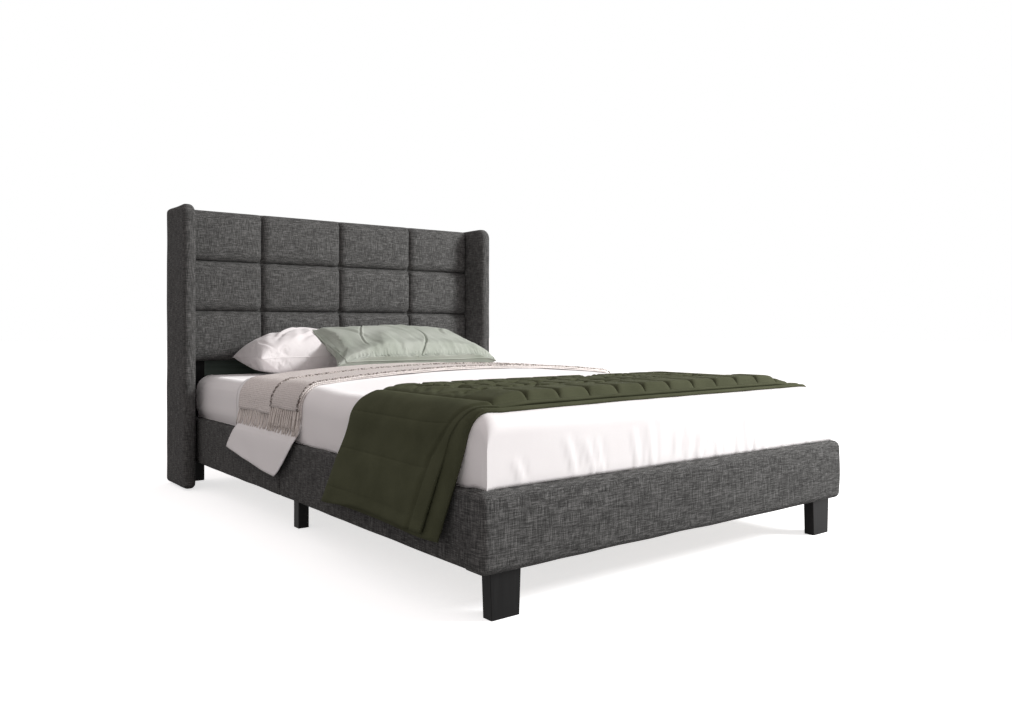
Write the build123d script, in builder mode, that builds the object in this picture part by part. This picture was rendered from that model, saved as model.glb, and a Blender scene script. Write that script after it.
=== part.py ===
"""A wingback bed: a tufted headboard between two wings, padded rails, a slatted deck and its bedding.

Millimetres, +Z up. The headboard stands at +Y and the foot rail at -Y. The origin is on the floor, in the
middle of the bed's length and width.
"""

import os

from build123d import *

os.makedirs("parts", exist_ok=True)

# Mattress, which sets the inside of the frame
mattress_width = 1372
mattress_length = 1905
mattress_thickness = 250
mattress_edge_radius = 28
mattress_corner_radius = 45
mattress_side_gap = 6
mattress_foot_gap = 6
mattress_head_gap = 5
sheet_thickness = 1.5
sheet_hem = 90

# Side rails: a board with a padded cover, each rail in two halves
rail_core_thickness = 20
rail_pad_outer = 8
rail_pad_top = 8
rail_pad_bottom = 6
rail_bottom = 105
rail_height = 181
rail_edge_radius = 9
rail_joint_from_foot = 1091

# Foot rail: a thicker board with a thicker cover
foot_core_thickness = 45
foot_pad_front = 24
foot_pad_top = 12
foot_pad_bottom = 4
foot_pad_end = 15
foot_rail_bottom = 107
foot_rail_height = 185
foot_edge_radius = 20
foot_bulge = 4

# Headboard panel, tufted in rows and columns of sewn blocks
panel_bottom = 512
panel_core_thickness = 18
panel_core_inset = 4
pad_depth = 51
block_height = 213
block_rows = 3
block_width = 388.5
block_depth = 26
block_edge_radius = 19
block_corner_radius = 22
block_gap = 3

# Wings
wing_thickness = 50
wing_pad = 10
wing_rail_gap = 11.5
wing_reach = 130.5
wing_bottom = 5
wing_height = 1149
wing_top_radius = 50
wing_bottom_radius = 24
wing_edge_radius = 20

# Headboard posts, cross pieces and back
post_width = 100
post_thickness = 30
post_top_gap = 11
post_chamfer = 2
batten_height = 60
batten_thickness = 22
batten_lower_rise = 88
back_board_bottom = 110
back_board_height = 450
back_board_thickness = 18
back_board_setback = 8
back_cloth_thickness = 1.5
back_cloth_margin = 12

# Legs
foot_leg_width_top = 91
foot_leg_width_bottom = 82
foot_leg_thickness = 32
foot_leg_inset_x = 85.5
foot_leg_inset_y = 24.5
mid_leg_size = 37
mid_leg_inset = 19
mid_leg_from_foot = 1042
leg_chamfer = 1.5

# Deck that carries the mattress
deck_height = 204
slat_thickness = 12
slat_width = 70
slat_count = 12
slat_end_gap = 2
slat_edge_radius = 3
slat_first_from_rail = 60
slat_last_from_pad = 45
ledger_thickness = 20
ledger_height = 30
ledger_end_gap = 60
beam_width = 40
beam_end_gap = 0.3
cross_beam_height = 30
cross_beam_end_gap = 1
strap_width = 25
strap_thickness = 1.2
strap_place = 350

# Steel fittings and bolts
plate_thickness = 3
bracket_height = 44
bracket_leg = 60
bracket_bolt_margin = 13
splice_length = 160
hanger_bolt_grip = 14
hanger_half_width = 42
hanger_shelf = 40
hanger_cheek_height = 24
bolt_radius = 4
bolt_head_radius = 7
bolt_head_height = 5
bolt_socket_radius = 2.5
bolt_socket_depth = 3
bolt_grip = 17
wing_bolt_grip = 18
bolt_clearance = 0.15
wing_bolt_height_share = (0.263, 0.544, 0.877)
leg_stud_radius = 4
leg_stud_length = 60
leg_stud_spacing = 40

# Bedding
soft_clearance = 0.3
cover_side_thickness = 20
cover_foot_from_foot = 22
cover_foot_round = 38
foot_round_along_share = (0, 0.25, 1)
foot_round_drop_share = (0.5, 0.17, 0)
cover_head_margin = 5
cover_shoulder_radius = 35
cover_shoulder_rise = 4
cover_crown_rise = 10
fold_margin = 10
fold_slope_share = 0.6
fold_shoulder_rise = 13
fold_crown_rise = 45
flap_thickness = 3.5
flap_root = 8
flap_rail_clearance = 2
flap_flare = 5
flap_reach = 50
flap_front_margin = 8
flap_tip_margin = 136
flap_back_margin = 42
flap_top_back_margin = 7
flap_tip_height = 172
flap_back_height = 221
quilt_from_foot = 64
quilt_width = 545
quilt_lower_thickness = 9
quilt_upper_thickness = 8
quilt_puff = 7
quilt_puff_count = 12
quilt_layer_step = 14
quilt_drape_bottom = 152
quilt_drape_flare = 38
quilt_front_slant = 80
quilt_back_slant = 110
knit_place_share = 0.626
knit_width = 508
knit_thickness = 5
knit_fold_width = 223
knit_drop = 114
knit_fold_drop = 96
tassel_width = 12
tassel_pitch = 18
tassel_length = 50
tassel_thickness = 4

# Pillows
pillow_left_side_gap = 136
pillow_right_side_gap = 66
pillow_middle_gap = 25
pillow_depth = 315
pillow_rise = 131
pillow_drop = 78
pillow_tip = 5
pillow_stations_share = (-1, -0.8, -0.4, 0.4, 0.8, 1)
pillow_depth_share = (1, 0.95, 0.92, 0.92, 0.95, 1)
pillow_swell_share = (0, 0.62, 0.97, 0.97, 0.62, 0)
pillow_pad_gap = 14
pillow_seam_rise = 72
accent_width = 750
accent_depth = 388
accent_rise = 80
accent_drop = 58
accent_overhang = 9
accent_seam_rise = 57
accent_place = 105
accent_tilt = 18
accent_press_gap = 1
accent_press_margin = 30

# Places that follow from the sizes above
rail_inner_x = mattress_width / 2 + mattress_side_gap
rail_core_outer_x = rail_inner_x + rail_core_thickness
rail_outer_x = rail_core_outer_x + rail_pad_outer
rail_top = rail_bottom + rail_height
foot_half_width = rail_outer_x + foot_pad_end
foot_rail_thickness = foot_pad_front + foot_core_thickness
foot_rail_top = foot_rail_bottom + foot_rail_height
wing_inner_x = rail_outer_x + wing_rail_gap
wing_outer_x = wing_inner_x + wing_thickness
wing_top = wing_bottom + wing_height
panel_top = panel_bottom + block_rows * block_height
post_inner_x = wing_inner_x - post_width
post_height = panel_top - post_top_gap
batten_lower_bottom = panel_bottom + batten_lower_rise
mattress_room = mattress_foot_gap + mattress_length + mattress_head_gap
headboard_depth = pad_depth + panel_core_thickness + post_thickness + back_cloth_thickness
overall_length = foot_rail_thickness + mattress_room + headboard_depth
foot_y = -overall_length / 2
foot_back_y = foot_y + foot_rail_thickness
pad_front_y = foot_back_y + mattress_room
panel_front_y = pad_front_y + pad_depth
post_front_y = panel_front_y + panel_core_thickness
post_back_y = post_front_y + post_thickness
wing_front_y = pad_front_y - wing_reach
rail_joint_y = foot_y + rail_joint_from_foot
slat_bottom = deck_height - slat_thickness
ledger_bottom = slat_bottom - ledger_height
cross_beam_bottom = ledger_bottom - cross_beam_height
mid_leg_y = foot_y + mid_leg_from_foot + mid_leg_size / 2
bracket_bottom = ledger_bottom - bracket_height
back_board_front_y = post_front_y + back_board_setback
mattress_bottom = deck_height + sheet_thickness
mattress_top = mattress_bottom + mattress_thickness
mattress_middle_y = foot_back_y + mattress_foot_gap + mattress_length / 2
sheet_top = mattress_top + sheet_thickness
cover_half_width = mattress_width / 2 + cover_side_thickness
cover_bottom = max(foot_rail_top, rail_top) + soft_clearance
cover_shoulder_height = sheet_top + cover_shoulder_rise
cover_crown_height = sheet_top + cover_crown_rise
fold_shoulder_height = sheet_top + fold_shoulder_rise
fold_crown_height = sheet_top + fold_crown_rise
quilt_front_y = foot_y + quilt_from_foot
quilt_back_y = quilt_front_y + quilt_width
pillow_width = (mattress_width - pillow_left_side_gap - pillow_right_side_gap - pillow_middle_gap) / 2
pillow_left_x = -mattress_width / 2 + pillow_left_side_gap + pillow_width / 2
pillow_right_x = mattress_width / 2 - pillow_right_side_gap - pillow_width / 2
pillow_front_y = pad_front_y - pillow_pad_gap - pillow_depth
pillow_seam_height = sheet_top + pillow_seam_rise
bare_length = pillow_front_y - quilt_back_y - knit_width
knit_front_y = quilt_back_y + knit_place_share * bare_length
knit_back_y = knit_front_y + knit_width
cover_head_y = knit_back_y + cover_head_margin
fold_front_y = knit_front_y - fold_margin
fold_slope_length = fold_slope_share * (fold_front_y - quilt_back_y)
knit_bottom = fold_shoulder_height - knit_drop
knit_fold_bottom = fold_shoulder_height - knit_fold_drop
hole_radius = bolt_radius + bolt_clearance
bolt_heights = (bracket_bottom + bracket_bolt_margin, ledger_bottom - bracket_bolt_margin)
MIN_Z = (Align.CENTER, Align.CENTER, Align.MIN)


def across(y):
    """The upright plane at one place along the bed: X to the right, Z up."""
    return Plane.XZ.offset(-y)


def block(x_range, y_range, z_range, mode=Mode.ADD):
    """A box between two values on each axis, in the part being built."""
    middle = [(low + high) / 2 for low, high in (x_range, y_range, z_range)]
    size = [high - low for low, high in (x_range, y_range, z_range)]
    with Locations(tuple(middle)):
        return Box(*size, mode=mode)


def drill(places, radius, depth):
    """Round holes from each plane's origin along its normal."""
    with Locations(*places):
        Cylinder(radius, depth, align=MIN_Z, mode=Mode.SUBTRACT)


def bolts(places, length):
    """Cap-head bolts, each head seated on its plane and its shank along the plane's normal."""
    with Locations(*places):
        Cylinder(bolt_radius, length, align=MIN_Z)
    heads = [place.offset(-bolt_head_height) for place in places]
    with Locations(*heads):
        Cylinder(bolt_head_radius, bolt_head_height, align=MIN_Z)
        Cylinder(bolt_socket_radius, bolt_socket_depth, align=MIN_Z, mode=Mode.SUBTRACT)


# Where the bolts go: each plane lies on the fitting and points into the wood
corner_y = ((foot_back_y, 1), (post_front_y, -1))
bolt_reach = bracket_leg - bracket_bolt_margin
rail_bolt_places = {"front": [], "rear": []}
foot_bolt_places = []
post_bolt_places = {-1: [], 1: []}
for side in (-1, 1):
    for height in bolt_heights:
        plate_x = side * (rail_inner_x - plate_thickness)
        end_x = side * (rail_inner_x - bolt_reach)
        for half, (y, inward) in zip(("front", "rear"), corner_y):
            rail_bolt_places[half].append(
                Plane(origin=(plate_x, y + inward * bolt_reach, height), z_dir=(side, 0, 0))
            )
            end_plane = Plane(origin=(end_x, y + inward * plate_thickness, height), z_dir=(0, -inward, 0))
            if half == "front":
                foot_bolt_places.append(end_plane)
            else:
                post_bolt_places[side].append(end_plane)
splice_bolt_places = {"front": [], "rear": []}
splice_reach = splice_length / 2 - bracket_bolt_margin
for side in (-1, 1):
    plate_x = side * (rail_inner_x - plate_thickness)
    for half, along in (("front", -1), ("rear", 1)):
        for height in bolt_heights:
            splice_bolt_places[half].append(
                Plane(origin=(plate_x, rail_joint_y + along * splice_reach, height), z_dir=(side, 0, 0))
            )
hanger_bolt_x = (beam_width / 2 + plate_thickness + hanger_half_width) / 2
hanger_bolt_z = slat_bottom - ledger_height / 2
foot_hanger_places = [
    Plane(origin=(side * hanger_bolt_x, foot_back_y + plate_thickness, hanger_bolt_z), z_dir=(0, -1, 0))
    for side in (-1, 1)
]
head_hanger_places = [
    Plane(origin=(side * hanger_bolt_x, back_board_front_y - plate_thickness, hanger_bolt_z), z_dir=(0, 1, 0))
    for side in (-1, 1)
]
wing_bolt_y = (post_front_y + post_back_y) / 2
wing_bolt_places = {
    side: [
        Plane(origin=(side * (post_inner_x + bolt_head_height), wing_bolt_y, height), z_dir=(side, 0, 0))
        for height in [share * min(post_height, wing_top) for share in wing_bolt_height_share]
    ]
    for side in (-1, 1)
}
wing_bolt_length = post_width - bolt_head_height + wing_pad + wing_bolt_grip
foot_leg_x = foot_half_width - foot_leg_inset_x
foot_leg_y = foot_y + foot_leg_inset_y + foot_leg_thickness / 2
mid_leg_x = rail_inner_x - mid_leg_inset - mid_leg_size / 2
foot_stud_bottom = foot_rail_bottom - leg_stud_length / 2
foot_stud_places = [
    Plane(origin=(side * foot_leg_x + shift * leg_stud_spacing / 2, foot_leg_y, foot_stud_bottom))
    for side in (-1, 1)
    for shift in (-1, 1)
]
mid_stud_bottom = cross_beam_bottom + cross_beam_height / 2 - leg_stud_length
mid_stud_places = [
    Plane(origin=(shift * mid_leg_x, mid_leg_y, mid_stud_bottom))
    for shift in (-1, 0, 1)
]

# Foot rail board
with BuildPart() as foot_rail_core:
    block(
        (-rail_outer_x, rail_outer_x),
        (foot_y + foot_pad_front, foot_back_y),
        (foot_rail_bottom + foot_pad_bottom, foot_rail_top - foot_pad_top),
    )
    drill(foot_bolt_places, hole_radius, bolt_grip + plate_thickness)
    drill(foot_hanger_places, hole_radius, hanger_bolt_grip + plate_thickness)
    drill(foot_stud_places, leg_stud_radius + bolt_clearance, leg_stud_length)
foot_rail_core.part.label = "foot_rail_core"
export_step(foot_rail_core.part, "parts/foot_rail_core.step")

# Foot rail cover: padded over the front, the ends and the top, and stapled to the board's back
with BuildPart() as foot_rail_cover:
    with BuildSketch(Plane.YZ.offset(-foot_half_width)):
        with BuildLine():
            front = foot_y + foot_bulge
            Line((foot_back_y, foot_rail_bottom), (front, foot_rail_bottom))
            ThreePointArc(
                (front, foot_rail_bottom),
                (foot_y, (foot_rail_bottom + foot_rail_top) / 2),
                (front, foot_rail_top),
            )
            Line((front, foot_rail_top), (foot_back_y, foot_rail_top))
            Line((foot_back_y, foot_rail_top), (foot_back_y, foot_rail_bottom))
        make_face()
    extrude(amount=2 * foot_half_width)
    end_faces = foot_rail_cover.faces().filter_by(Axis.X)
    end_edges = end_faces.edges().filter_by(lambda e: e.center().Y < foot_back_y - foot_edge_radius / 2)
    long_edges = foot_rail_cover.edges().filter_by(Axis.X).group_by(Axis.Y)[0]
    fillet(end_edges + long_edges, foot_edge_radius)
    block(
        (-rail_outer_x, rail_outer_x),
        (foot_y + foot_pad_front, foot_back_y),
        (foot_rail_bottom + foot_pad_bottom, foot_rail_top - foot_pad_top),
        mode=Mode.SUBTRACT,
    )
    drill(foot_stud_places, leg_stud_radius + bolt_clearance, leg_stud_length)
foot_rail_cover.part.label = "foot_rail_cover"
export_step(foot_rail_cover.part, "parts/foot_rail_cover.step")

# Side rail boards and covers, a front and a rear half on each side
rail_spans = {"front": (foot_back_y, rail_joint_y), "rear": (rail_joint_y, post_front_y)}
for side, side_name in ((-1, "left"), (1, "right")):
    for half, (start, end) in rail_spans.items():
        holes = [
            place
            for place in rail_bolt_places[half] + splice_bolt_places[half]
            if place.origin.X * side > 0
        ]
        with BuildPart() as side_rail_core:
            block(
                sorted((side * rail_inner_x, side * rail_core_outer_x)),
                (start, end),
                (rail_bottom + rail_pad_bottom, rail_top - rail_pad_top),
            )
            drill(holes, hole_radius, bolt_grip + plate_thickness)
        side_rail_core.part.label = f"side_rail_core_{half}_{side_name}"
        export_step(side_rail_core.part, f"parts/side_rail_core_{half}_{side_name}.step")

        with BuildPart() as side_rail_cover:
            block(sorted((side * rail_inner_x, side * rail_outer_x)), (start, end), (rail_bottom, rail_top))
            outer_face = side_rail_cover.faces().sort_by(Axis.X)[-1 if side > 0 else 0]
            fillet(outer_face.edges().filter_by(Axis.Y), rail_edge_radius)
            block(
                sorted((side * rail_inner_x, side * rail_core_outer_x)),
                (start, end),
                (rail_bottom + rail_pad_bottom, rail_top - rail_pad_top),
                mode=Mode.SUBTRACT,
            )
        side_rail_cover.part.label = f"side_rail_cover_{half}_{side_name}"
        export_step(side_rail_cover.part, f"parts/side_rail_cover_{half}_{side_name}.step")

# Headboard panel board
with BuildPart() as headboard_core:
    block(
        (-wing_inner_x, wing_inner_x),
        (panel_front_y, post_front_y),
        (panel_bottom + panel_core_inset, panel_top - panel_core_inset),
    )
headboard_core.part.label = "headboard_core"
export_step(headboard_core.part, "parts/headboard_core.step")

# Headboard pad: a foam sheet with sewn blocks, whose edges are drawn in at each seam
column_edges = (-wing_inner_x, -block_width, 0, block_width, wing_inner_x)
with BuildPart() as headboard_pad:
    pad_base_y = (pad_front_y + block_depth, panel_front_y)
    block((-wing_inner_x, wing_inner_x), pad_base_y, (panel_bottom, panel_top))
    for row in range(block_rows):
        for left, right in zip(column_edges, column_edges[1:]):
            with BuildSketch(across(pad_front_y + block_depth)):
                middle_z = panel_bottom + (row + 0.5) * block_height
                with Locations(((left + right) / 2, middle_z)):
                    RectangleRounded(right - left - block_gap, block_height - block_gap, block_corner_radius)
            extrude(amount=block_depth)
    front_faces = headboard_pad.faces().filter_by(Axis.Y).group_by(Axis.Y)[0]
    fillet(front_faces.edges(), block_edge_radius)
headboard_pad.part.label = "headboard_pad"
export_step(headboard_pad.part, "parts/headboard_pad.step")

# Posts, which stand on the floor behind the panel and carry the wings and the side rails
for side, side_name in ((-1, "left"), (1, "right")):
    with BuildPart() as post:
        block(
            sorted((side * post_inner_x, side * wing_inner_x)),
            (post_front_y, post_back_y),
            (0, post_height),
        )
        chamfer(post.faces().sort_by(Axis.Z)[0].edges(), post_chamfer)
        drill(post_bolt_places[side], hole_radius, bolt_grip + plate_thickness)
        drill(wing_bolt_places[side], hole_radius, post_width)
        head_places = [place.offset(-bolt_head_height) for place in wing_bolt_places[side]]
        drill(head_places, bolt_head_radius + bolt_clearance, bolt_head_height)
    post.part.label = f"post_{side_name}"
    export_step(post.part, f"parts/post_{side_name}.step")

# Battens between the posts, behind the panel
for batten_bottom, batten_name in (
    (batten_lower_bottom, "batten_lower"),
    (post_height - batten_height, "batten_upper"),
):
    with BuildPart() as batten:
        block(
            (-post_inner_x, post_inner_x),
            (post_front_y, post_front_y + batten_thickness),
            (batten_bottom, batten_bottom + batten_height),
        )
    batten.part.label = batten_name
    export_step(batten.part, f"parts/{batten_name}.step")

# Lower back board between the posts, which shows above the mattress and carries the centre beam
with BuildPart() as lower_back_board:
    block(
        (-post_inner_x, post_inner_x),
        (back_board_front_y, back_board_front_y + back_board_thickness),
        (back_board_bottom, back_board_bottom + back_board_height),
    )
    drill(head_hanger_places, hole_radius, hanger_bolt_grip + plate_thickness)
lower_back_board.part.label = "lower_back_board"
export_step(lower_back_board.part, "parts/lower_back_board.step")

# Back cloth, stapled over the back of the posts and wings
with BuildPart() as back_cloth:
    block(
        (-wing_outer_x + back_cloth_margin, wing_outer_x - back_cloth_margin),
        (post_back_y, post_back_y + back_cloth_thickness),
        (panel_bottom, post_height),
    )
back_cloth.part.label = "back_cloth"
export_step(back_cloth.part, "parts/back_cloth.step")


def wing_outline(inset):
    """The wing seen from the side, drawn in by the inset all round but at its back."""
    front = wing_front_y + inset
    low = wing_bottom + inset
    high = wing_top - inset
    top_radius = wing_top_radius - inset
    low_radius = wing_bottom_radius - inset
    Line((post_back_y, low), (front + low_radius, low))
    RadiusArc((front + low_radius, low), (front, low + low_radius), low_radius)
    Line((front, low + low_radius), (front, high - top_radius))
    RadiusArc((front, high - top_radius), (front + top_radius, high), top_radius)
    Line((front + top_radius, high), (post_back_y, high))
    Line((post_back_y, high), (post_back_y, low))


# Wings: a board with a padded cover that is open at the back, where the cloth closes it
for side, side_name in ((-1, "left"), (1, "right")):
    with BuildPart() as wing_core:
        with BuildSketch(Plane.YZ.offset(side * (wing_inner_x + wing_pad))):
            with BuildLine():
                wing_outline(wing_pad)
            make_face()
        extrude(amount=side * (wing_thickness - 2 * wing_pad))
        drill(wing_bolt_places[side], hole_radius, wing_bolt_length)
    wing_core.part.label = f"wing_core_{side_name}"
    export_step(wing_core.part, f"parts/wing_core_{side_name}.step")

    with BuildPart() as wing_cover:
        with BuildSketch(Plane.YZ.offset(side * wing_inner_x)):
            with BuildLine():
                wing_outline(0)
            make_face()
        extrude(amount=side * wing_thickness)
        side_faces = wing_cover.faces().filter_by(Axis.X)
        rim = side_faces.edges().filter_by(lambda e: e.center().Y < post_back_y - wing_edge_radius / 2)
        fillet(rim, wing_edge_radius)
        with BuildSketch(Plane.YZ.offset(side * (wing_inner_x + wing_pad))):
            with BuildLine():
                wing_outline(wing_pad)
            make_face()
        extrude(amount=side * (wing_thickness - 2 * wing_pad), mode=Mode.SUBTRACT)
        drill(wing_bolt_places[side], hole_radius, wing_bolt_length)
    wing_cover.part.label = f"wing_cover_{side_name}"
    export_step(wing_cover.part, f"parts/wing_cover_{side_name}.step")

# Front legs: tapered blocks under the foot rail
for side, side_name in ((-1, "left"), (1, "right")):
    with BuildPart() as foot_leg:
        with BuildSketch(across(foot_leg_y - foot_leg_thickness / 2)):
            middle = side * foot_leg_x
            with BuildLine():
                Polyline(
                    (middle - foot_leg_width_bottom / 2, 0),
                    (middle + foot_leg_width_bottom / 2, 0),
                    (middle + foot_leg_width_top / 2, foot_rail_bottom),
                    (middle - foot_leg_width_top / 2, foot_rail_bottom),
                    close=True,
                )
            make_face()
        extrude(amount=-foot_leg_thickness)
        upright = foot_leg.edges().filter_by(Axis.X, reverse=True).filter_by(Axis.Y, reverse=True)
        chamfer(upright, leg_chamfer)
        drill(foot_stud_places, leg_stud_radius + bolt_clearance, leg_stud_length)
    foot_leg.part.label = f"foot_leg_{side_name}"
    export_step(foot_leg.part, f"parts/foot_leg_{side_name}.step")

# Middle legs under the cross beam
for place, leg_name in ((-1, "mid_leg_left"), (0, "mid_leg_centre"), (1, "mid_leg_right")):
    with BuildPart() as mid_leg:
        with Locations((place * mid_leg_x, mid_leg_y, 0)):
            Box(mid_leg_size, mid_leg_size, cross_beam_bottom, align=MIN_Z)
        chamfer(mid_leg.edges().filter_by(Axis.Z), leg_chamfer)
        drill(mid_stud_places, leg_stud_radius + bolt_clearance, leg_stud_length)
    mid_leg.part.label = leg_name
    export_step(mid_leg.part, f"parts/{leg_name}.step")

# Ledgers on the rails' inner faces, which carry the slat ends
for side, side_name in ((-1, "left"), (1, "right")):
    for half, (start, end) in rail_spans.items():
        front_gap = ledger_end_gap if half == "front" else beam_end_gap
        rear_gap = ledger_end_gap if half == "rear" else beam_end_gap
        with BuildPart() as ledger:
            block(
                sorted((side * (rail_inner_x - ledger_thickness), side * rail_inner_x)),
                (start + front_gap, end - rear_gap),
                (ledger_bottom, slat_bottom),
            )
        ledger.part.label = f"ledger_{half}_{side_name}"
        export_step(ledger.part, f"parts/ledger_{half}_{side_name}.step")

# Centre beam along the bed and cross beam under it
with BuildPart() as centre_beam:
    block(
        (-beam_width / 2, beam_width / 2),
        (foot_back_y + plate_thickness + beam_end_gap, back_board_front_y - plate_thickness - beam_end_gap),
        (ledger_bottom, slat_bottom),
    )
centre_beam.part.label = "centre_beam"
export_step(centre_beam.part, "parts/centre_beam.step")

cross_beam_half = rail_inner_x - plate_thickness - cross_beam_end_gap
with BuildPart() as cross_beam:
    block(
        (-cross_beam_half, cross_beam_half),
        (mid_leg_y - mid_leg_size / 2, mid_leg_y + mid_leg_size / 2),
        (cross_beam_bottom, ledger_bottom),
    )
    drill(mid_stud_places, leg_stud_radius + bolt_clearance, leg_stud_length)
cross_beam.part.label = "cross_beam"
export_step(cross_beam.part, "parts/cross_beam.step")

# Slats across the deck, and the two straps that space them
slat_first_y = foot_back_y + slat_first_from_rail
slat_last_y = pad_front_y - slat_last_from_pad
slat_pitch = (slat_last_y - slat_first_y) / (slat_count - 1)
slat_half = rail_inner_x - slat_end_gap
for number in range(slat_count):
    slat_y = slat_first_y + number * slat_pitch
    with BuildPart() as slat:
        block(
            (-slat_half, slat_half),
            (slat_y - slat_width / 2, slat_y + slat_width / 2),
            (slat_bottom, deck_height),
        )
        fillet(slat.faces().sort_by(Axis.Z)[-1].edges().filter_by(Axis.X), slat_edge_radius)
    slat.part.label = f"slat_{number + 1:02d}"
    export_step(slat.part, f"parts/slat_{number + 1:02d}.step")

with BuildPart() as slat_straps:
    for side in (-1, 1):
        block(
            (side * strap_place - strap_width / 2, side * strap_place + strap_width / 2),
            (slat_first_y - slat_width / 2, slat_last_y + slat_width / 2),
            (slat_bottom - strap_thickness, slat_bottom),
        )
slat_straps.part.label = "slat_straps"
export_step(slat_straps.part, "parts/slat_straps.step")

# Corner brackets: steel angles that hold the rails to the foot rail and to the posts
with BuildPart() as corner_brackets:
    for side in (-1, 1):
        for y, inward in corner_y:
            block(
                sorted((side * (rail_inner_x - plate_thickness), side * rail_inner_x)),
                sorted((y, y + inward * bracket_leg)),
                (bracket_bottom, ledger_bottom),
            )
            block(
                sorted((side * (rail_inner_x - bracket_leg), side * rail_inner_x)),
                sorted((y, y + inward * plate_thickness)),
                (bracket_bottom, ledger_bottom),
            )
    corner_places = rail_bolt_places["front"] + rail_bolt_places["rear"] + foot_bolt_places
    corner_places = corner_places + post_bolt_places[-1] + post_bolt_places[1]
    drill(corner_places, hole_radius, plate_thickness)
corner_brackets.part.label = "corner_brackets"
export_step(corner_brackets.part, "parts/corner_brackets.step")

# Splice plates, which join the two halves of each side rail
splice_places = splice_bolt_places["front"] + splice_bolt_places["rear"]
with BuildPart() as splice_plates:
    for side in (-1, 1):
        block(
            sorted((side * (rail_inner_x - plate_thickness), side * rail_inner_x)),
            (rail_joint_y - splice_length / 2, rail_joint_y + splice_length / 2),
            (bracket_bottom, ledger_bottom),
        )
    drill(splice_places, hole_radius, plate_thickness)
splice_plates.part.label = "splice_plates"
export_step(splice_plates.part, "parts/splice_plates.step")

# Beam hangers: a back plate with a shelf and two cheeks round each end of the centre beam
with BuildPart() as beam_hangers:
    for y, inward in ((foot_back_y, 1), (back_board_front_y, -1)):
        cheek_outer = beam_width / 2 + plate_thickness
        block(
            (-hanger_half_width, hanger_half_width),
            sorted((y, y + inward * plate_thickness)),
            (ledger_bottom - plate_thickness, slat_bottom),
        )
        block(
            (-cheek_outer, cheek_outer),
            sorted((y, y + inward * (plate_thickness + hanger_shelf))),
            (ledger_bottom - plate_thickness, ledger_bottom),
        )
        for side in (-1, 1):
            block(
                sorted((side * beam_width / 2, side * cheek_outer)),
                sorted((y, y + inward * (plate_thickness + hanger_shelf))),
                (ledger_bottom - plate_thickness, ledger_bottom + hanger_cheek_height),
            )
    drill(foot_hanger_places + head_hanger_places, hole_radius, plate_thickness)
beam_hangers.part.label = "beam_hangers"
export_step(beam_hangers.part, "parts/beam_hangers.step")

# Bolts
with BuildPart() as frame_bolts:
    bolts(corner_places + splice_places, plate_thickness + bolt_grip)
    bolts(foot_hanger_places + head_hanger_places, plate_thickness + hanger_bolt_grip)
frame_bolts.part.label = "frame_bolts"
export_step(frame_bolts.part, "parts/frame_bolts.step")

with BuildPart() as wing_bolts:
    bolts(wing_bolt_places[-1] + wing_bolt_places[1], wing_bolt_length)
wing_bolts.part.label = "wing_bolts"
export_step(wing_bolts.part, "parts/wing_bolts.step")

with BuildPart() as leg_studs:
    with Locations(*foot_stud_places, *mid_stud_places):
        Cylinder(leg_stud_radius, leg_stud_length, align=MIN_Z)
leg_studs.part.label = "leg_studs"
export_step(leg_studs.part, "parts/leg_studs.step")


def mattress_form(grow, mode=Mode.ADD):
    """The mattress's rounded block, grown by one thickness all round."""
    with BuildPart(mode=Mode.PRIVATE) as form:
        with BuildSketch(Plane.XY.offset(mattress_bottom - grow)):
            with Locations((0, mattress_middle_y)):
                RectangleRounded(
                    mattress_width + 2 * grow, mattress_length + 2 * grow, mattress_corner_radius + grow
                )
        extrude(amount=mattress_thickness + 2 * grow)
        fillet(form.faces().filter_by(Axis.Z).edges(), mattress_edge_radius + grow)
    return form.part


# Mattress, and the fitted sheet that is turned under it
mattress_solid = mattress_form(0)
with BuildPart() as mattress:
    add(mattress_solid)
mattress.part.label = "mattress"
export_step(mattress.part, "parts/mattress.step")

sheet_solid = mattress_form(sheet_thickness)
with BuildPart() as fitted_sheet:
    add(sheet_solid)
    add(mattress_solid, mode=Mode.SUBTRACT)
    with Locations((0, mattress_middle_y, deck_height)):
        Box(
            mattress_width - 2 * sheet_hem,
            mattress_length - 2 * sheet_hem,
            2 * sheet_thickness,
            mode=Mode.SUBTRACT,
        )
fitted_sheet.part.label = "fitted_sheet"
export_step(fitted_sheet.part, "parts/fitted_sheet.step")


def cover_line(grow, shoulder, crown, low):
    """The bed's outline across its width over the coverlet: side, shoulder, crown, shoulder, side."""
    half = cover_half_width + grow
    radius = cover_shoulder_radius + grow
    high = shoulder + grow
    turn_x = half - radius
    turn_z = high - radius
    if low < turn_z:
        Line((-half, low), (-half, turn_z))
        Line((half, turn_z), (half, low))
    RadiusArc((-half, turn_z), (-turn_x, high), radius)
    ThreePointArc((-turn_x, high), (0, crown + grow), (turn_x, high))
    RadiusArc((turn_x, high), (half, turn_z), radius)


# Coverlet: tucked in along the sides and the foot, and folded back double near the pillows
cover_front_y = foot_y + cover_foot_from_foot
cover_stations = [
    (along_share * cover_foot_round, cover_shoulder_height - drop, cover_crown_height - drop)
    for along_share, drop in zip(
        foot_round_along_share, [share * cover_foot_round for share in foot_round_drop_share]
    )
]
cover_stations += [
    (fold_front_y - fold_slope_length - cover_front_y, cover_shoulder_height, cover_crown_height),
    (fold_front_y - cover_front_y, fold_shoulder_height, fold_crown_height),
    (cover_head_y - cover_front_y, fold_shoulder_height, fold_crown_height),
]
sheet_room = mattress_form(sheet_thickness + soft_clearance)

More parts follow.
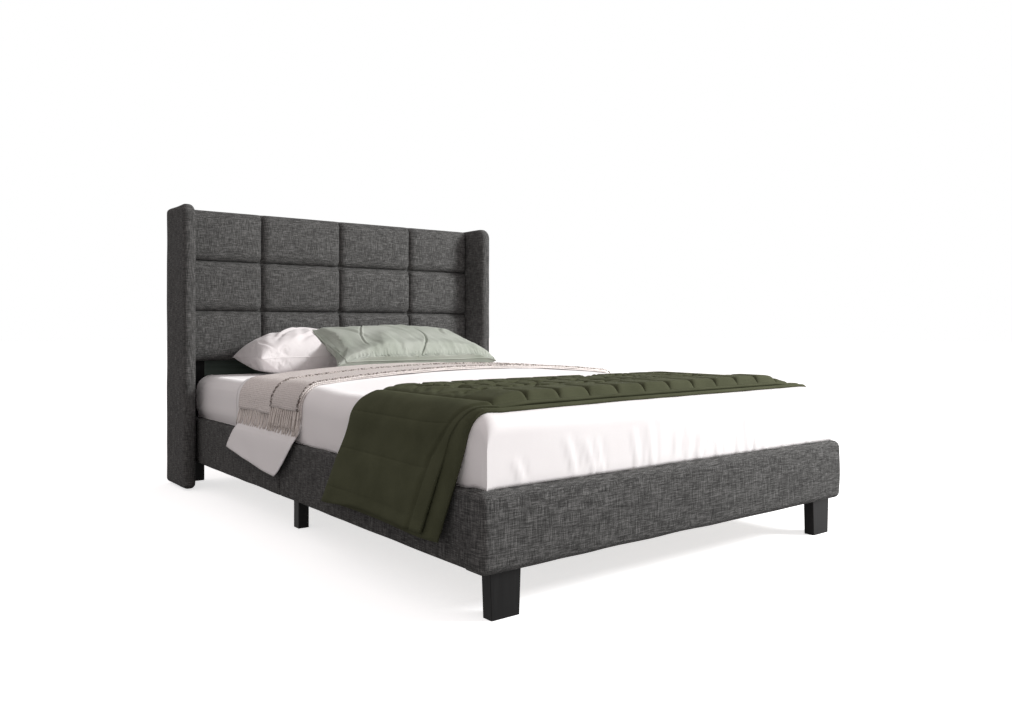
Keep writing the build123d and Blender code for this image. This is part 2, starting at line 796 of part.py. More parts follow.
# Flap: the coverlet's loose corner, which hangs over the left side rail
flap_x = -rail_outer_x - flap_rail_clearance
with BuildPart() as flap:
    with BuildSketch(across(knit_front_y + flap_front_margin)):
        with BuildLine():
            Polyline(
                (-cover_half_width, cover_bottom),
                (flap_x, rail_top + flap_rail_clearance),
                (flap_x - flap_flare, flap_tip_height),
                (flap_x - flap_flare - flap_thickness, flap_tip_height),
                (flap_x - flap_thickness, rail_top + flap_rail_clearance + flap_thickness),
                (-cover_half_width, cover_bottom + flap_root),
                close=True,
            )
        make_face()
    extrude(amount=flap_front_margin - knit_width - flap_back_margin)
    with BuildSketch(Plane.YZ.offset(-cover_half_width)):
        with BuildLine():
            Polyline(
                (knit_front_y + flap_front_margin, cover_bottom + flap_root),
                (knit_back_y - flap_top_back_margin, cover_bottom + flap_root),
                (knit_back_y + flap_back_margin, flap_back_height),
                (knit_front_y + flap_tip_margin, flap_tip_height),
                close=True,
            )
        make_face()
    extrude(amount=-flap_reach, mode=Mode.INTERSECT)

with BuildPart() as coverlet:
    for station, shoulder, crown in cover_stations:
        with BuildSketch(across(cover_front_y + station)):
            with BuildLine():
                cover_line(0, shoulder, crown, cover_bottom)
                Line((cover_half_width, cover_bottom), (-cover_half_width, cover_bottom))
            make_face()
    loft(ruled=True)
    add(sheet_room, mode=Mode.SUBTRACT)
    add(flap.part)
coverlet.part.label = "coverlet"
export_step(coverlet.part, "parts/coverlet.step")


def bed_band(inner, outer, low, shoulder, crown, start, end):
    """A strip of cloth across the bed, over both shoulders, between two distances from the coverlet."""
    with BuildPart(mode=Mode.PRIVATE) as band:
        with BuildSketch(across(start)):
            with BuildLine():
                cover_line(inner, shoulder, crown, low)
                cover_line(outer, shoulder, crown, low)
                Line((-cover_half_width - outer, low), (-cover_half_width - inner, low))
                Line((cover_half_width + outer, low), (cover_half_width + inner, low))
            make_face()
        extrude(amount=start - end)
    return band.part


# Quilted throw: two layers, the upper one sewn in channels, with a drape over each side
quilt_inner = soft_clearance
quilt_middle = quilt_inner + quilt_lower_thickness
quilt_outer = quilt_middle + quilt_upper_thickness
drape_top = cover_shoulder_height - cover_shoulder_radius
quilt_lower_layer = bed_band(
    quilt_inner,
    quilt_middle,
    drape_top,
    cover_shoulder_height,
    cover_crown_height,
    quilt_front_y,
    quilt_back_y,
)


def quilt_drape(side, inner, outer, low, front_y):
    """One side's drape, which leans outwards and towards the headboard as it hangs."""
    drop_share = (drape_top - low) / (drape_top - quilt_drape_bottom)
    with BuildPart(mode=Mode.PRIVATE) as drape:
        for share, height in ((0, drape_top), (drop_share, low)):
            front = front_y + share * quilt_front_slant
            back = quilt_back_y + share * quilt_back_slant
            middle_x = side * (cover_half_width + (inner + outer) / 2 + share * quilt_drape_flare)
            with BuildSketch(Plane.XY.offset(height)):
                with Locations((middle_x, (front + back) / 2)):
                    Rectangle(outer - inner, back - front)
        loft(ruled=True)
    return drape.part


def puff_height(x, half):
    """Height of the upper layer's seams over the crown of the bed."""
    crown = cover_crown_height - cover_shoulder_height
    return cover_shoulder_height + quilt_outer + crown * (1 - (x / half) ** 2)


quilt_drapes = []
for side in (-1, 1):
    quilt_drapes.append(
        quilt_drape(side, quilt_inner, quilt_middle, quilt_drape_bottom, quilt_front_y)
    )
    quilt_drapes.append(
        quilt_drape(
            side,
            quilt_middle,
            quilt_outer,
            quilt_drape_bottom + quilt_layer_step,
            quilt_front_y + quilt_layer_step,
        )
    )
puff_half = cover_half_width - cover_shoulder_radius
puff_width = 2 * puff_half / quilt_puff_count
with BuildPart() as quilt_throw:
    with BuildSketch(across(quilt_front_y + quilt_layer_step)):
        with BuildLine():
            side_x = cover_half_width + quilt_outer
            radius = cover_shoulder_radius + quilt_outer
            Line((-side_x, drape_top), (-side_x + quilt_upper_thickness, drape_top))
            cover_line(quilt_middle, cover_shoulder_height, cover_crown_height, drape_top)
            Line((side_x - quilt_upper_thickness, drape_top), (side_x, drape_top))
            RadiusArc((-side_x, drape_top), (-puff_half, puff_height(puff_half, puff_half)), radius)
            for number in range(quilt_puff_count):
                left = -puff_half + number * puff_width
                right = left + puff_width
                middle = (left + right) / 2
                ThreePointArc(
                    (left, puff_height(left, puff_half)),
                    (middle, puff_height(middle, puff_half) + quilt_puff),
                    (right, puff_height(right, puff_half)),
                )
            RadiusArc((puff_half, puff_height(puff_half, puff_half)), (side_x, drape_top), radius)
        make_face()
    extrude(amount=quilt_layer_step - quilt_width)
    add(quilt_lower_layer)
    add(quilt_drapes)
quilt_throw.part.label = "quilt_throw"
export_step(quilt_throw.part, "parts/quilt_throw.step")

# Knitted throw: folded lengthwise, a narrower layer on the wider one, with tassels at both ends
knit_inner = soft_clearance
knit_middle = knit_inner + knit_thickness
knit_outer = knit_middle + knit_thickness
knit_layers = (
    (knit_inner, knit_middle, knit_bottom, knit_width),
    (knit_middle, knit_outer, knit_fold_bottom, knit_fold_width),
)
knit_bands = [
    bed_band(
        inner, outer, low, fold_shoulder_height, fold_crown_height, knit_front_y, knit_front_y + width
    )
    for inner, outer, low, width in knit_layers
]
with BuildPart() as knit_throw:
    add(knit_bands)
    for side in (-1, 1):
        for inner, outer, low, width in knit_layers:
            tassel_count = int(width / tassel_pitch)
            tassel_x = side * (cover_half_width + inner + tassel_thickness / 2)
            with Locations((tassel_x, knit_front_y + width / 2, low)):
                with GridLocations(tassel_pitch, tassel_pitch, 1, tassel_count):
                    Box(
                        tassel_thickness,
                        tassel_width,
                        tassel_length,
                        align=(Align.CENTER, Align.CENTER, Align.MAX),
                    )
knit_throw.part.label = "knit_throw"
export_step(knit_throw.part, "parts/knit_throw.step")


def pillow_form(width, depth, rise, drop):
    """A crowned pillow about its seam, with drawn-in sides and flat, pointed corners."""
    with BuildPart(mode=Mode.PRIVATE) as form:
        for station, deep, swell in zip(pillow_stations_share, pillow_depth_share, pillow_swell_share):
            edge = deep * depth / 2
            high = max(pillow_tip, swell * rise)
            low = max(pillow_tip, swell * drop)
            with BuildSketch(Plane.YZ.offset(station * width / 2)):
                with BuildLine():
                    ThreePointArc((-edge, 0), (0, high), (edge, 0))
                    ThreePointArc((edge, 0), (0, -low), (-edge, 0))
                make_face()
        loft()
    return form.part


# Accent pillow, which leans on the two sleeping pillows
accent_form = pillow_form(accent_width, accent_depth, accent_rise, accent_drop)
accent_middle = (accent_place, pillow_front_y - accent_overhang, pillow_seam_height + accent_seam_rise)
accent_location = Location(accent_middle, (accent_tilt, 0, 0))
with BuildPart() as accent_pillow:
    with Locations(accent_location):
        add(accent_form)
accent_pillow.part.label = "accent_pillow"
export_step(accent_pillow.part, "parts/accent_pillow.step")

# Sleeping pillows, flat where they rest on the mattress and where the accent pillow presses on them
sleeping_form = pillow_form(pillow_width, pillow_depth, pillow_rise, pillow_drop)
pressed = Plane(accent_location).offset(-accent_drop - accent_press_gap)
for pillow_x, pillow_name in ((pillow_left_x, "pillow_left"), (pillow_right_x, "pillow_right")):
    with BuildPart() as sleeping_pillow:
        with Locations((pillow_x, pillow_front_y + pillow_depth / 2, pillow_seam_height)):
            add(sleeping_form)
        split(bisect_by=Plane.XY.offset(sheet_top + soft_clearance), keep=Keep.TOP)
        with Locations(pressed):
            Box(
                accent_width + accent_press_margin,
                accent_depth + accent_press_margin,
                accent_rise + accent_drop + pillow_rise,
                align=MIN_Z,
                mode=Mode.SUBTRACT,
            )
    sleeping_pillow.part.label = pillow_name
    export_step(sleeping_pillow.part, f"parts/{pillow_name}.step")
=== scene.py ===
from math import cos, exp, floor, hypot, pi, radians, sin, sqrt

import bmesh
import bpy
from mathutils import Matrix, Vector, noise
from mathutils.bvhtree import BVHTree


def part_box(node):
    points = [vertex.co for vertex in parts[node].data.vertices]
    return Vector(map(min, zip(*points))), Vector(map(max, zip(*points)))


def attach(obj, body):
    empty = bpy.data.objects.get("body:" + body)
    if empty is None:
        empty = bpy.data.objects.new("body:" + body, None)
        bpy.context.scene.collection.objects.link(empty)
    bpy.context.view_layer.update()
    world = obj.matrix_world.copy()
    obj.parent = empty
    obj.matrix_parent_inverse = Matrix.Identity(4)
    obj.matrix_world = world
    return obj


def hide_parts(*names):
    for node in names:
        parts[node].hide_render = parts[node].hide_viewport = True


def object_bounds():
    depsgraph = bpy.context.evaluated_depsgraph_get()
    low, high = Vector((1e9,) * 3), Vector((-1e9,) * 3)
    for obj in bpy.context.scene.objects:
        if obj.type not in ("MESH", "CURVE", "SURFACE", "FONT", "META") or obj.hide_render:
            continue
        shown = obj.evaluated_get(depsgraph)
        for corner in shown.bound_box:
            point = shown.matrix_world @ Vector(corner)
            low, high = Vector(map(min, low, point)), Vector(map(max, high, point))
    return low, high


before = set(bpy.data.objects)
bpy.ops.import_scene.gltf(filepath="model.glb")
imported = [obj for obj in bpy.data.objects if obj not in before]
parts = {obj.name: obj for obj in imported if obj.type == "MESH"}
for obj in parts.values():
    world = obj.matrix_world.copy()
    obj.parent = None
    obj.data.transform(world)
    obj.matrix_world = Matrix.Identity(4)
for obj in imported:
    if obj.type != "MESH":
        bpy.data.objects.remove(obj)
cad_low, cad_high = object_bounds()

# The bare boards, battens, ledgers, beams and slats that carry the mattress. They are sawn pine and
# particle board, left unpainted, and screwed or bolted together inside the covers.


def new_material(name, **values):
    """A material whose even values are set on its shader's own sockets."""
    material = bpy.data.materials.new(name)
    material.use_nodes = True
    for socket, value in values.items():
        material.node_tree.nodes["Principled BSDF"].inputs[socket.replace("_", " ")].default_value = value
    return material


def add_node(material, kind, inputs=None, **settings):
    """Adds a node. Each input is a plain value or another node's output."""
    made = material.node_tree.nodes.new("ShaderNode" + kind)
    for name, value in settings.items():
        setattr(made, name, value)
    for name, value in (inputs or {}).items():
        if isinstance(value, bpy.types.NodeSocket):
            material.node_tree.links.new(value, made.inputs[name])
        else:
            made.inputs[name].default_value = value
    return made


def coordinates(material, source="Object", scale=(1, 1, 1)):
    """Where a point lies on the piece, stretched for a pattern."""
    place = add_node(material, "TexCoord").outputs[source]
    return add_node(material, "Mapping", {"Vector": place, "Scale": scale}).outputs["Vector"]


def speckle(material, place, detail=2, rough=0.5, twist=0):
    """Soft noise from 0 to 1, one grain to each unit of the stretched place."""
    inputs = {"Vector": place, "Scale": 1, "Detail": detail, "Roughness": rough, "Distortion": twist}
    return add_node(material, "TexNoise", inputs).outputs["Fac"]


def combine(material, operation, first, second):
    """One sum on two values."""
    return add_node(material, "Math", {0: first, 1: second}, operation=operation).outputs[0]


def shades(material, value, *stops):
    """Turns a value into a colour, through stops of place and colour."""
    made = add_node(material, "ValToRGB", {"Fac": value})
    ramp = made.color_ramp
    for number, (place, colour) in enumerate(stops):
        stop = ramp.elements[number] if number < 2 else ramp.elements.new(place)
        stop.position = place
        stop.color = (*colour, 1)
    return made.outputs["Color"]


def finish_material(material, colour, height, depth):
    """Joins a pattern's colour and relief to the shader."""
    shader = material.node_tree.nodes["Principled BSDF"]
    material.node_tree.links.new(colour, shader.inputs["Base Color"])
    relief = add_node(material, "Bump", {"Height": height, "Distance": depth})
    material.node_tree.links.new(relief.outputs["Normal"], shader.inputs["Normal"])
    return material


def mottled(name, scale, dark, light, relief, detail=2, stops=(0.3, 0.7), **values):
    """A surface whose tone and relief both follow one fine speckle."""
    material = new_material(name, **values)
    grain = speckle(material, coordinates(material, scale=scale), detail)
    tone = shades(material, grain, (stops[0], dark), (stops[1], light))
    return finish_material(material, tone, grain, relief)


def finish_parts(material, *names):
    """Gives the carried-over parts whose names start so this material."""
    for name, part in parts.items():
        if name.startswith(names):
            part.data.materials.clear()
            part.data.materials.append(material)


def wood(name, along, dark, light):
    """Planed pine: grain lines along one axis, with a slow change of tone."""
    material = new_material(name, Roughness=0.62)
    grain = speckle(material, coordinates(material, scale=along), detail=4, rough=0.6, twist=0.6)
    colour = shades(material, grain, (0.3, dark), (0.7, light))
    return finish_material(material, colour, grain, 0.0004)


pine_dark = (0.47, 0.31, 0.16)
pine_light = (0.76, 0.6, 0.4)
pine_across = wood("pine_across", (3, 90, 90), pine_dark, pine_light)
pine_along = wood("pine_along", (90, 3, 90), pine_dark, pine_light)
finish_parts(pine_across, "slat_0", "slat_1", "batten", "cross_beam")
finish_parts(pine_along, "ledger", "centre_beam")

chip_tones = {"dark": (0.36, 0.25, 0.14), "light": (0.62, 0.48, 0.3), "stops": (0.35, 0.65)}
chipboard = mottled("chipboard", (260, 260, 260), relief=0.0005, detail=3, Roughness=0.8, **chip_tones)
finish_parts(chipboard, "foot_rail_core", "side_rail_core", "headboard_core", "wing_core")

# The steel angles, splice plates and hangers, black powder-coated, with zinc-plated bolts and studs, and
# the two webbing straps that are stapled along the slats to space them.
coating_tones = {"dark": (0.018, 0.018, 0.019), "light": (0.035, 0.035, 0.036)}
coating_shine = {"Roughness": 0.55, "Metallic": 0.2}
coated_steel = mottled("coated_steel", (900, 900, 900), relief=0.0002, **coating_tones, **coating_shine)
finish_parts(coated_steel, "corner_brackets", "splice_plates", "beam_hangers")

zinc_tones = {"dark": (0.5, 0.5, 0.52), "light": (0.66, 0.66, 0.67)}
zinc = mottled("zinc", (300, 300, 300), relief=0.0001, Metallic=1, Roughness=0.35, **zinc_tones)
finish_parts(zinc, "frame_bolts", "wing_bolts", "leg_studs")

webbing = new_material("webbing", Roughness=0.85)
rib_inputs = {"Vector": coordinates(webbing, scale=(1, 500, 1)), "Scale": 1}
ribs = add_node(webbing, "TexWave", rib_inputs, bands_direction="Y").outputs["Fac"]
rib_tone = shades(webbing, ribs, (0, (0.02, 0.02, 0.02)), (1, (0.06, 0.06, 0.06)))
finish_material(webbing, rib_tone, ribs, 0.0004)
finish_parts(webbing, "slat_straps")

# The feet and posts: solid wood blocks in satin black paint, bolted up into the rails, and the lower board
# between the posts, stained a dark green black, that shows as a strip above the mattress.
paint_tones = {"dark": (0.009, 0.009, 0.009), "light": (0.014, 0.014, 0.014), "stops": (0.3, 0.75)}
paint_shine = {"Roughness": 0.42, "Specular_IOR_Level": 0.09}
black_paint = mottled("black_paint", (160, 160, 8), relief=0.0002, detail=4, **paint_tones, **paint_shine)
finish_parts(black_paint, "foot_leg", "mid_leg", "post")

stain_tones = {"dark": (0.075, 0.1, 0.086), "light": (0.11, 0.145, 0.125)}
stain_shine = {"Roughness": 0.5, "Specular_IOR_Level": 0.2}
dark_stain = mottled("dark_stain", (4, 120, 120), relief=0.0003, detail=4, **stain_tones, **stain_shine)
finish_parts(dark_stain, "lower_back_board")

felt_tones = {"dark": (0.012, 0.012, 0.012), "light": (0.04, 0.04, 0.04)}
dust_cloth = mottled("dust_cloth", (700, 700, 700), relief=0.0003, detail=3, Roughness=0.95, **felt_tones)
finish_parts(dust_cloth, "back_cloth")

# The rails' covers: charcoal slub linen-look cloth over foam, pulled round each board and stapled inside.
# The foot rail's is thicker and swells in front, and each side rail's is in two halves that meet at the
# rail's joint.


def upholstery(name, dark, middle, light):
    """Slub weave: long thick-and-thin threads both ways, over a fine even ground weave."""
    material = new_material(name, Roughness=0.9, Specular_IOR_Level=0.05)
    lying = speckle(material, coordinates(material, scale=(32, 32, 480)), detail=3, rough=0.6)
    standing = speckle(material, coordinates(material, scale=(480, 480, 32)), detail=3, rough=0.6)
    ground = speckle(material, coordinates(material, scale=(520, 520, 520)), detail=1)
    threads = combine(material, "ADD", lying, standing)
    mixed = combine(material, "MULTIPLY", ground, 0.35)
    total = combine(material, "ADD", threads, mixed)
    even = combine(material, "MULTIPLY", total, 0.425)
    colour = shades(material, even, (0.36, dark), (0.5, middle), (0.64, light))
    return finish_material(material, colour, even, 0.0022)


charcoal = upholstery("charcoal_linen", (0.022, 0.022, 0.0215), (0.084, 0.084, 0.082), (0.225, 0.225, 0.22))

# The wings' boards show from behind, between the edges of their covers, and are faced there with the same
# cloth.
facing = 0.0005
for name in ("wing_core_left", "wing_core_right"):
    board = parts[name].data
    board.materials.append(charcoal)
    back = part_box(name)[1].y
    for face in board.polygons:
        if face.normal.y > 0.9 and face.center.y > back - facing:
            face.material_index = 1


def box_mesh(low, high):
    """A box between two corners, as a mesh to be shaped."""
    bm = bmesh.new()
    bmesh.ops.create_cube(bm, size=1)
    bmesh.ops.scale(bm, vec=high - low, verts=bm.verts)
    bmesh.ops.translate(bm, vec=(low + high) / 2, verts=bm.verts)
    return bm


def round_edges(bm, picked, radius, segments=5):
    """Rounds the picked edges."""
    bmesh.ops.bevel(
        bm, geom=picked, offset=radius, segments=segments, affect="EDGES", profile=0.5, material=-1
    )


def slice_up(bm, axis, places):
    """Cuts the mesh across one axis, so that it can swell and crease there."""
    normal = Vector([number == axis for number in range(3)])
    for place in places:
        geometry = bm.verts[:] + bm.edges[:] + bm.faces[:]
        bmesh.ops.bisect_plane(bm, geom=geometry, plane_co=normal * place, plane_no=normal, dist=1e-6)


def even_places(start, end, spacing):
    """Places between two ends, evenly spaced."""
    count = max(2, round((end - start) / spacing))
    return [start + (end - start) * number / count for number in range(1, count)]


def drift(x, y, z):
    """Smooth noise from -1 to 1, the same at the same place each time."""
    return noise.noise(Vector((x, y, z)))


def ripple(bm, amount, grain, seed=0):
    """Moves each point a little along its normal, as cloth over foam lies uneven."""
    bm.normal_update()
    for vert in bm.verts:
        x, y, z = vert.co
        vert.co += vert.normal * amount * drift(x / grain[0], y / grain[1], z / grain[2] + seed)


def link_object(name, data):
    """Puts a mesh, a lamp or a camera into the scene as an object."""
    made = bpy.data.objects.new(name, data)
    bpy.context.scene.collection.objects.link(made)
    return made


def add_piece(name, bm, material, body="frame", smooth=True):
    """Makes the mesh a piece of the bed, with its material, on its body."""
    mesh = bpy.data.meshes.new(name)
    for face in bm.faces:
        face.smooth = smooth
    bm.to_mesh(mesh)
    bm.free()
    piece = link_object(name, mesh)
    mesh.materials.append(material)
    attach(piece, body)
    return piece


def thicken(piece, thickness, offset=-1):
    """Gives a sheet its thickness."""
    shell = piece.modifiers.new("thickness", "SOLIDIFY")
    shell.thickness = thickness
    shell.offset = offset


def draw_out(bm, edges):
    """Draws new faces out of the edges, and returns their far points, which are still in place."""
    made = bmesh.ops.extrude_edge_only(bm, edges=edges)["geom"]
    return [item for item in made if isinstance(item, bmesh.types.BMVert)]


def carve_room(bm, axis, plane, low, high, depth):
    """Opens the cover where its board shows, and lines the opening as deep as the board goes in."""
    inside = []
    others = [number for number in range(3) if number != axis]
    for face in bm.faces:
        middle = face.calc_center_median()
        on_plane = abs(middle[axis] - plane) < 1e-5
        if on_plane and all(low[number] < middle[number] < high[number] for number in others):
            inside.append(face)
    bmesh.ops.delete(bm, geom=inside, context="FACES")
    rim = [edge for edge in bm.edges if edge.is_boundary]
    for vert in draw_out(bm, rim):
        vert.co[axis] += depth
    floor_rim = [edge for edge in bm.edges if edge.is_boundary]
    bmesh.ops.holes_fill(bm, edges=floor_rim)
    bmesh.ops.recalc_face_normals(bm, faces=bm.faces)


cover_grain = (0.11, 0.11, 0.07)
flat_margin = 0.002
low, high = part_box("foot_rail_cover")
board_low, board_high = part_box("foot_rail_core")
foot_radius = 0.02
foot_swell = 0.004
foot_slack = 0.0022
low.y += foot_swell
bm = box_mesh(low, high)
rim = [edge for edge in bm.edges if min(vert.co.y for vert in edge.verts) < high.y - foot_radius]
round_edges(bm, rim, foot_radius)
slice_up(bm, 0, even_places(low.x, high.x, 0.03) + [board_low.x, board_high.x])
slice_up(bm, 2, even_places(low.z, high.z, 0.015) + [board_low.z, board_high.z])
middle_z = (low.z + high.z) / 2
for vert in bm.verts:
    height_share = (vert.co.z - middle_z) / (high.z - middle_z)
    front_share = (high.y - vert.co.y) / (high.y - low.y)
    vert.co.y -= foot_swell * front_share * (1 - height_share ** 2)
ripple(bm, foot_slack, cover_grain)
for vert in bm.verts:
    vert.co.z = max(vert.co.z, low.z)
    if vert.co.y > high.y - flat_margin:
        vert.co.y = high.y
carve_room(bm, 1, high.y, board_low, board_high, board_low.y - high.y)
foot_cover = add_piece("foot_cover", bm, charcoal)
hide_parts("foot_rail_cover")

rail_radius = 0.009
joint_depth = 0.011
joint_width = 0.009
joint_steps = (-0.008, -0.003, 0.003, 0.008)
rail_slack = 0.0018
board_margin = Vector((0, 0.0001, 0))
both_sides = ((-1, "left"), (1, "right"))
for side, side_name in both_sides:
    for half in ("front", "rear"):
        low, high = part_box(f"side_rail_cover_{half}_{side_name}")
        board_low, board_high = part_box(f"side_rail_core_{half}_{side_name}")
        outer, inner = (low.x, high.x) if side < 0 else (high.x, low.x)
        board_outer = board_low.x if side < 0 else board_high.x
        bm = box_mesh(low, high)
        long_edges = [edge for edge in bm.edges if all(abs(vert.co.x - outer) < 1e-6 for vert in edge.verts)]
        round_edges(bm, long_edges, rail_radius, 3)
        joint_cuts = [place + step for place in (low.y, high.y) for step in joint_steps]
        slice_up(bm, 1, even_places(low.y, high.y, 0.03) + joint_cuts)
        slice_up(bm, 2, even_places(low.z, high.z, 0.02) + [board_low.z, board_high.z])
        ripple(bm, rail_slack, cover_grain, 3 * side)
        for vert in bm.verts:
            from_joint = abs(vert.co.y - (high.y if half == "front" else low.y))
            drawn_in = joint_depth * max(0, 1 - from_joint / joint_width) ** 2
            vert.co.x -= side * drawn_in * (abs(vert.co.x - inner) > 0.01)
            vert.co.y = min(max(vert.co.y, low.y), high.y)
            if abs(vert.co.x - inner) < flat_margin:
                vert.co.x = inner
        carve_room(bm, 0, inner, board_low - board_margin, board_high + board_margin, board_outer - inner)
        rail_cover = add_piece(f"rail_cover_{half}_{side_name}", bm, charcoal)
        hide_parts(f"side_rail_cover_{half}_{side_name}")

# The wings: each a board in a padded cover of the same cloth, with a full round front edge and a rounded
# top corner, bolted through the headboard's posts. The board stands a hair proud of its cover behind.
wing_radius = 0.0195
wing_top_radius = 0.05
wing_low_radius = 0.024
board_proud = 0.0003
wing_slack = 0.0022
wing_grain = (0.09, 0.09, 0.13)
for side, side_name in both_sides:
    low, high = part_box(f"wing_cover_{side_name}")
    bm = box_mesh(low, high)
    for height, radius in ((high.z, wing_top_radius), (low.z, wing_low_radius)):
        corner = [
            edge
            for edge in bm.edges
            if all(abs(vert.co.z - height) < 1e-6 and abs(vert.co.y - low.y) < 1e-6 for vert in edge.verts)
        ]
        round_edges(bm, corner, radius, 8)
    rim = [
        edge
        for edge in bm.edges
        if abs(edge.verts[0].co.x - edge.verts[1].co.x) < 1e-6
        and min(vert.co.y for vert in edge.verts) < high.y - 1e-4
    ]
    round_edges(bm, rim, wing_radius, 6)
    slice_up(bm, 1, even_places(low.y, high.y, 0.02))
    slice_up(bm, 2, even_places(low.z, high.z, 0.025))
    ripple(bm, wing_slack, wing_grain, 7 * side)
    for vert in bm.verts:
        vert.co.y = min(vert.co.y, high.y - board_proud)
    wing = add_piece(f"wing_{side_name}", bm, charcoal)
    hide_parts(f"wing_cover_{side_name}")

# The headboard's pad: foam under the same cloth, sewn down in three rows of four blocks, so that each block
# swells between its seams and the cloth gathers a little where it is drawn in.
seam_columns = (-0.3885, 0, 0.3885)
seam_rows = 3
seam_depth = 0.027
block_round = 0.037
block_corner = 0.03
block_crown = 0.011
crossing_pinch = 0.7
end_tightness = 4
pucker = 0.0016
pucker_reach = 0.022
pucker_grain = 75
pad_slack = 0.0022
seam_wander = 0.003
pad_spacing = 0.012
low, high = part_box("headboard_pad")
columns = [low.x, *seam_columns, high.x]
rows = [low.z + (high.z - low.z) * number / seam_rows for number in range(seam_rows + 1)]
near_seam = (0.0012, 0.003, 0.006, 0.01, 0.0145, 0.02, 0.026, 0.033)


def seam_places(edges, spacing):
    """Cuts close to each seam and evenly spaced between them."""
    places = list(edges[1:-1])
    for start, end in zip(edges, edges[1:]):
        places += [start + step for step in near_seam]
        places += [end - step for step in near_seam]
        places += even_places(start + near_seam[-1], end - near_seam[-1], spacing)
    return places


def swell(distance, reach):
    """A quarter round from nothing at the seam to full height."""
    share = min(distance / reach, 1)
    return sqrt(1 - (1 - share) ** 2)


bm = box_mesh(low, high)
slice_up(bm, 0, seam_places(columns, pad_spacing))
slice_up(bm, 2, seam_places(rows, pad_spacing))
for vert in bm.verts:
    if vert.co.y > low.y + 1e-4:
        continue
    x, z = vert.co.x, vert.co.z
    across = min(abs(x - place) for place in seam_columns)
    across = min(across, (x - low.x) * end_tightness, (high.x - x) * end_tightness)
    up = min(abs(z - place) for place in rows)
    column = sum(x > place for place in seam_columns)
    row = sum(z > place for place in rows[1:-1])
    wide = (columns[column + 1] - columns[column]) / 2
    tall = (rows[row + 1] - rows[row]) / 2
    inside = min(across, up)
    if max(across, up) < block_corner:
        inside = block_corner - hypot(block_corner - across, block_corner - up)
    round_share = swell(max(inside, 0), block_round)
    crown_share = (1 - max(1 - across / wide, 0) ** 2) * (1 - (1 - up / tall) ** 2)
    gathers = pucker * exp(-across / pucker_reach) * drift(5 * column, z * pucker_grain, row)
    gathers += pucker * exp(-up / pucker_reach) * drift(x * pucker_grain, column, 9 + 5 * row)
    slack = pad_slack * drift(x * 9, 3 * row, z * 9 + column)
    vert.co.y = low.y + seam_depth * (1 - round_share) + block_crown * (1 - crown_share) + slack
    vert.co.y += crossing_pinch * max(0, -inside)
    vert.co.y -= gathers * min(across, up) / (min(across, up) + 0.002)
    vert.co.z += seam_wander * drift(x * 14, 1, z * 14) * round_share
pad = add_piece("headboard_tufting", bm, charcoal)
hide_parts("headboard_pad")

# The same cloth runs on over the headboard's top edge, down behind its board and batten, and is stapled
# under the dust cloth.
turn_cloth = 0.0008
core_low, core_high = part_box("headboard_core")
batten_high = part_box("batten_upper")[1]
dust_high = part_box("back_cloth")[1]
turn_profile = (
    (core_low.y + turn_cloth, core_high.z + turn_cloth),
    (core_high.y + turn_cloth, core_high.z + turn_cloth),
    (core_high.y + 2 * turn_cloth, batten_high.z + turn_cloth),
    (batten_high.y, batten_high.z + turn_cloth),
    (dust_high.y, dust_high.z + turn_cloth),
)
bm = bmesh.new()
corners = [bm.verts.new((core_low.x, y, z)) for y, z in turn_profile]
line = [bm.edges.new(pair) for pair in zip(corners, corners[1:])]
bmesh.ops.translate(bm, vec=(core_high.x - core_low.x, 0, 0), verts=draw_out(bm, line))
bmesh.ops.recalc_face_normals(bm, faces=bm.faces)
if sum(face.normal.z for face in bm.faces) < 0:
    bmesh.ops.reverse_faces(bm, faces=bm.faces)
slice_up(bm, 0, even_places(core_low.x, core_high.x, 0.03))
top_cloth = add_piece("headboard_top_cloth", bm, charcoal, smooth=False)
thicken(top_cloth, turn_cloth)
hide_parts("headboard_pad")
turn_length = sum((Vector(end) - Vector(start)).length for start, end in zip(turn_profile, turn_profile[1:]))

# The mattress: a foam block in white knitted ticking, with a fitted cotton sheet drawn tight over it and
# gathered under its edge on elastic.
mattress_low, mattress_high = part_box("mattress")
sheet_low, sheet_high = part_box("fitted_sheet")
mattress_corner = 0.035
mattress_edge = 0.062
sheet_bulge = 0.0135
sheet_thick = 0.0008
foam_spacing = 0.06
sheet_spacing = 0.022


def bedding_block(low, high, corner, edge, spacing):
    """A block with rounded upright corners and rounded top and bottom edges, cut for wrinkles."""
    bm = box_mesh(low, high)
    upright = [e for e in bm.edges if abs(e.verts[0].co.z - e.verts[1].co.z) > 1e-4]
    round_edges(bm, upright, corner, 6)
    level = [e for e in bm.edges if abs(e.verts[0].co.z - e.verts[1].co.z) < 1e-6]
    level = [e for e in level if len(e.link_faces) == 2 and e.calc_face_angle() > 1]
    round_edges(bm, level, edge, 5)
    for axis in range(3):
        slice_up(bm, axis, even_places(low[axis], high[axis], spacing))
    return bm


ticking_tones = {"dark": (0.72, 0.71, 0.7), "light": (0.85, 0.84, 0.83)}
ticking = mottled("ticking", (260, 260, 260), relief=0.0006, Roughness=0.9, **ticking_tones)
bm = bedding_block(mattress_low, mattress_high, mattress_corner, mattress_edge, foam_spacing)
ripple(bm, 0.0006, (0.08, 0.08, 0.08))
mattress = add_piece("mattress_foam", bm, ticking, "mattress")
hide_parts("mattress")


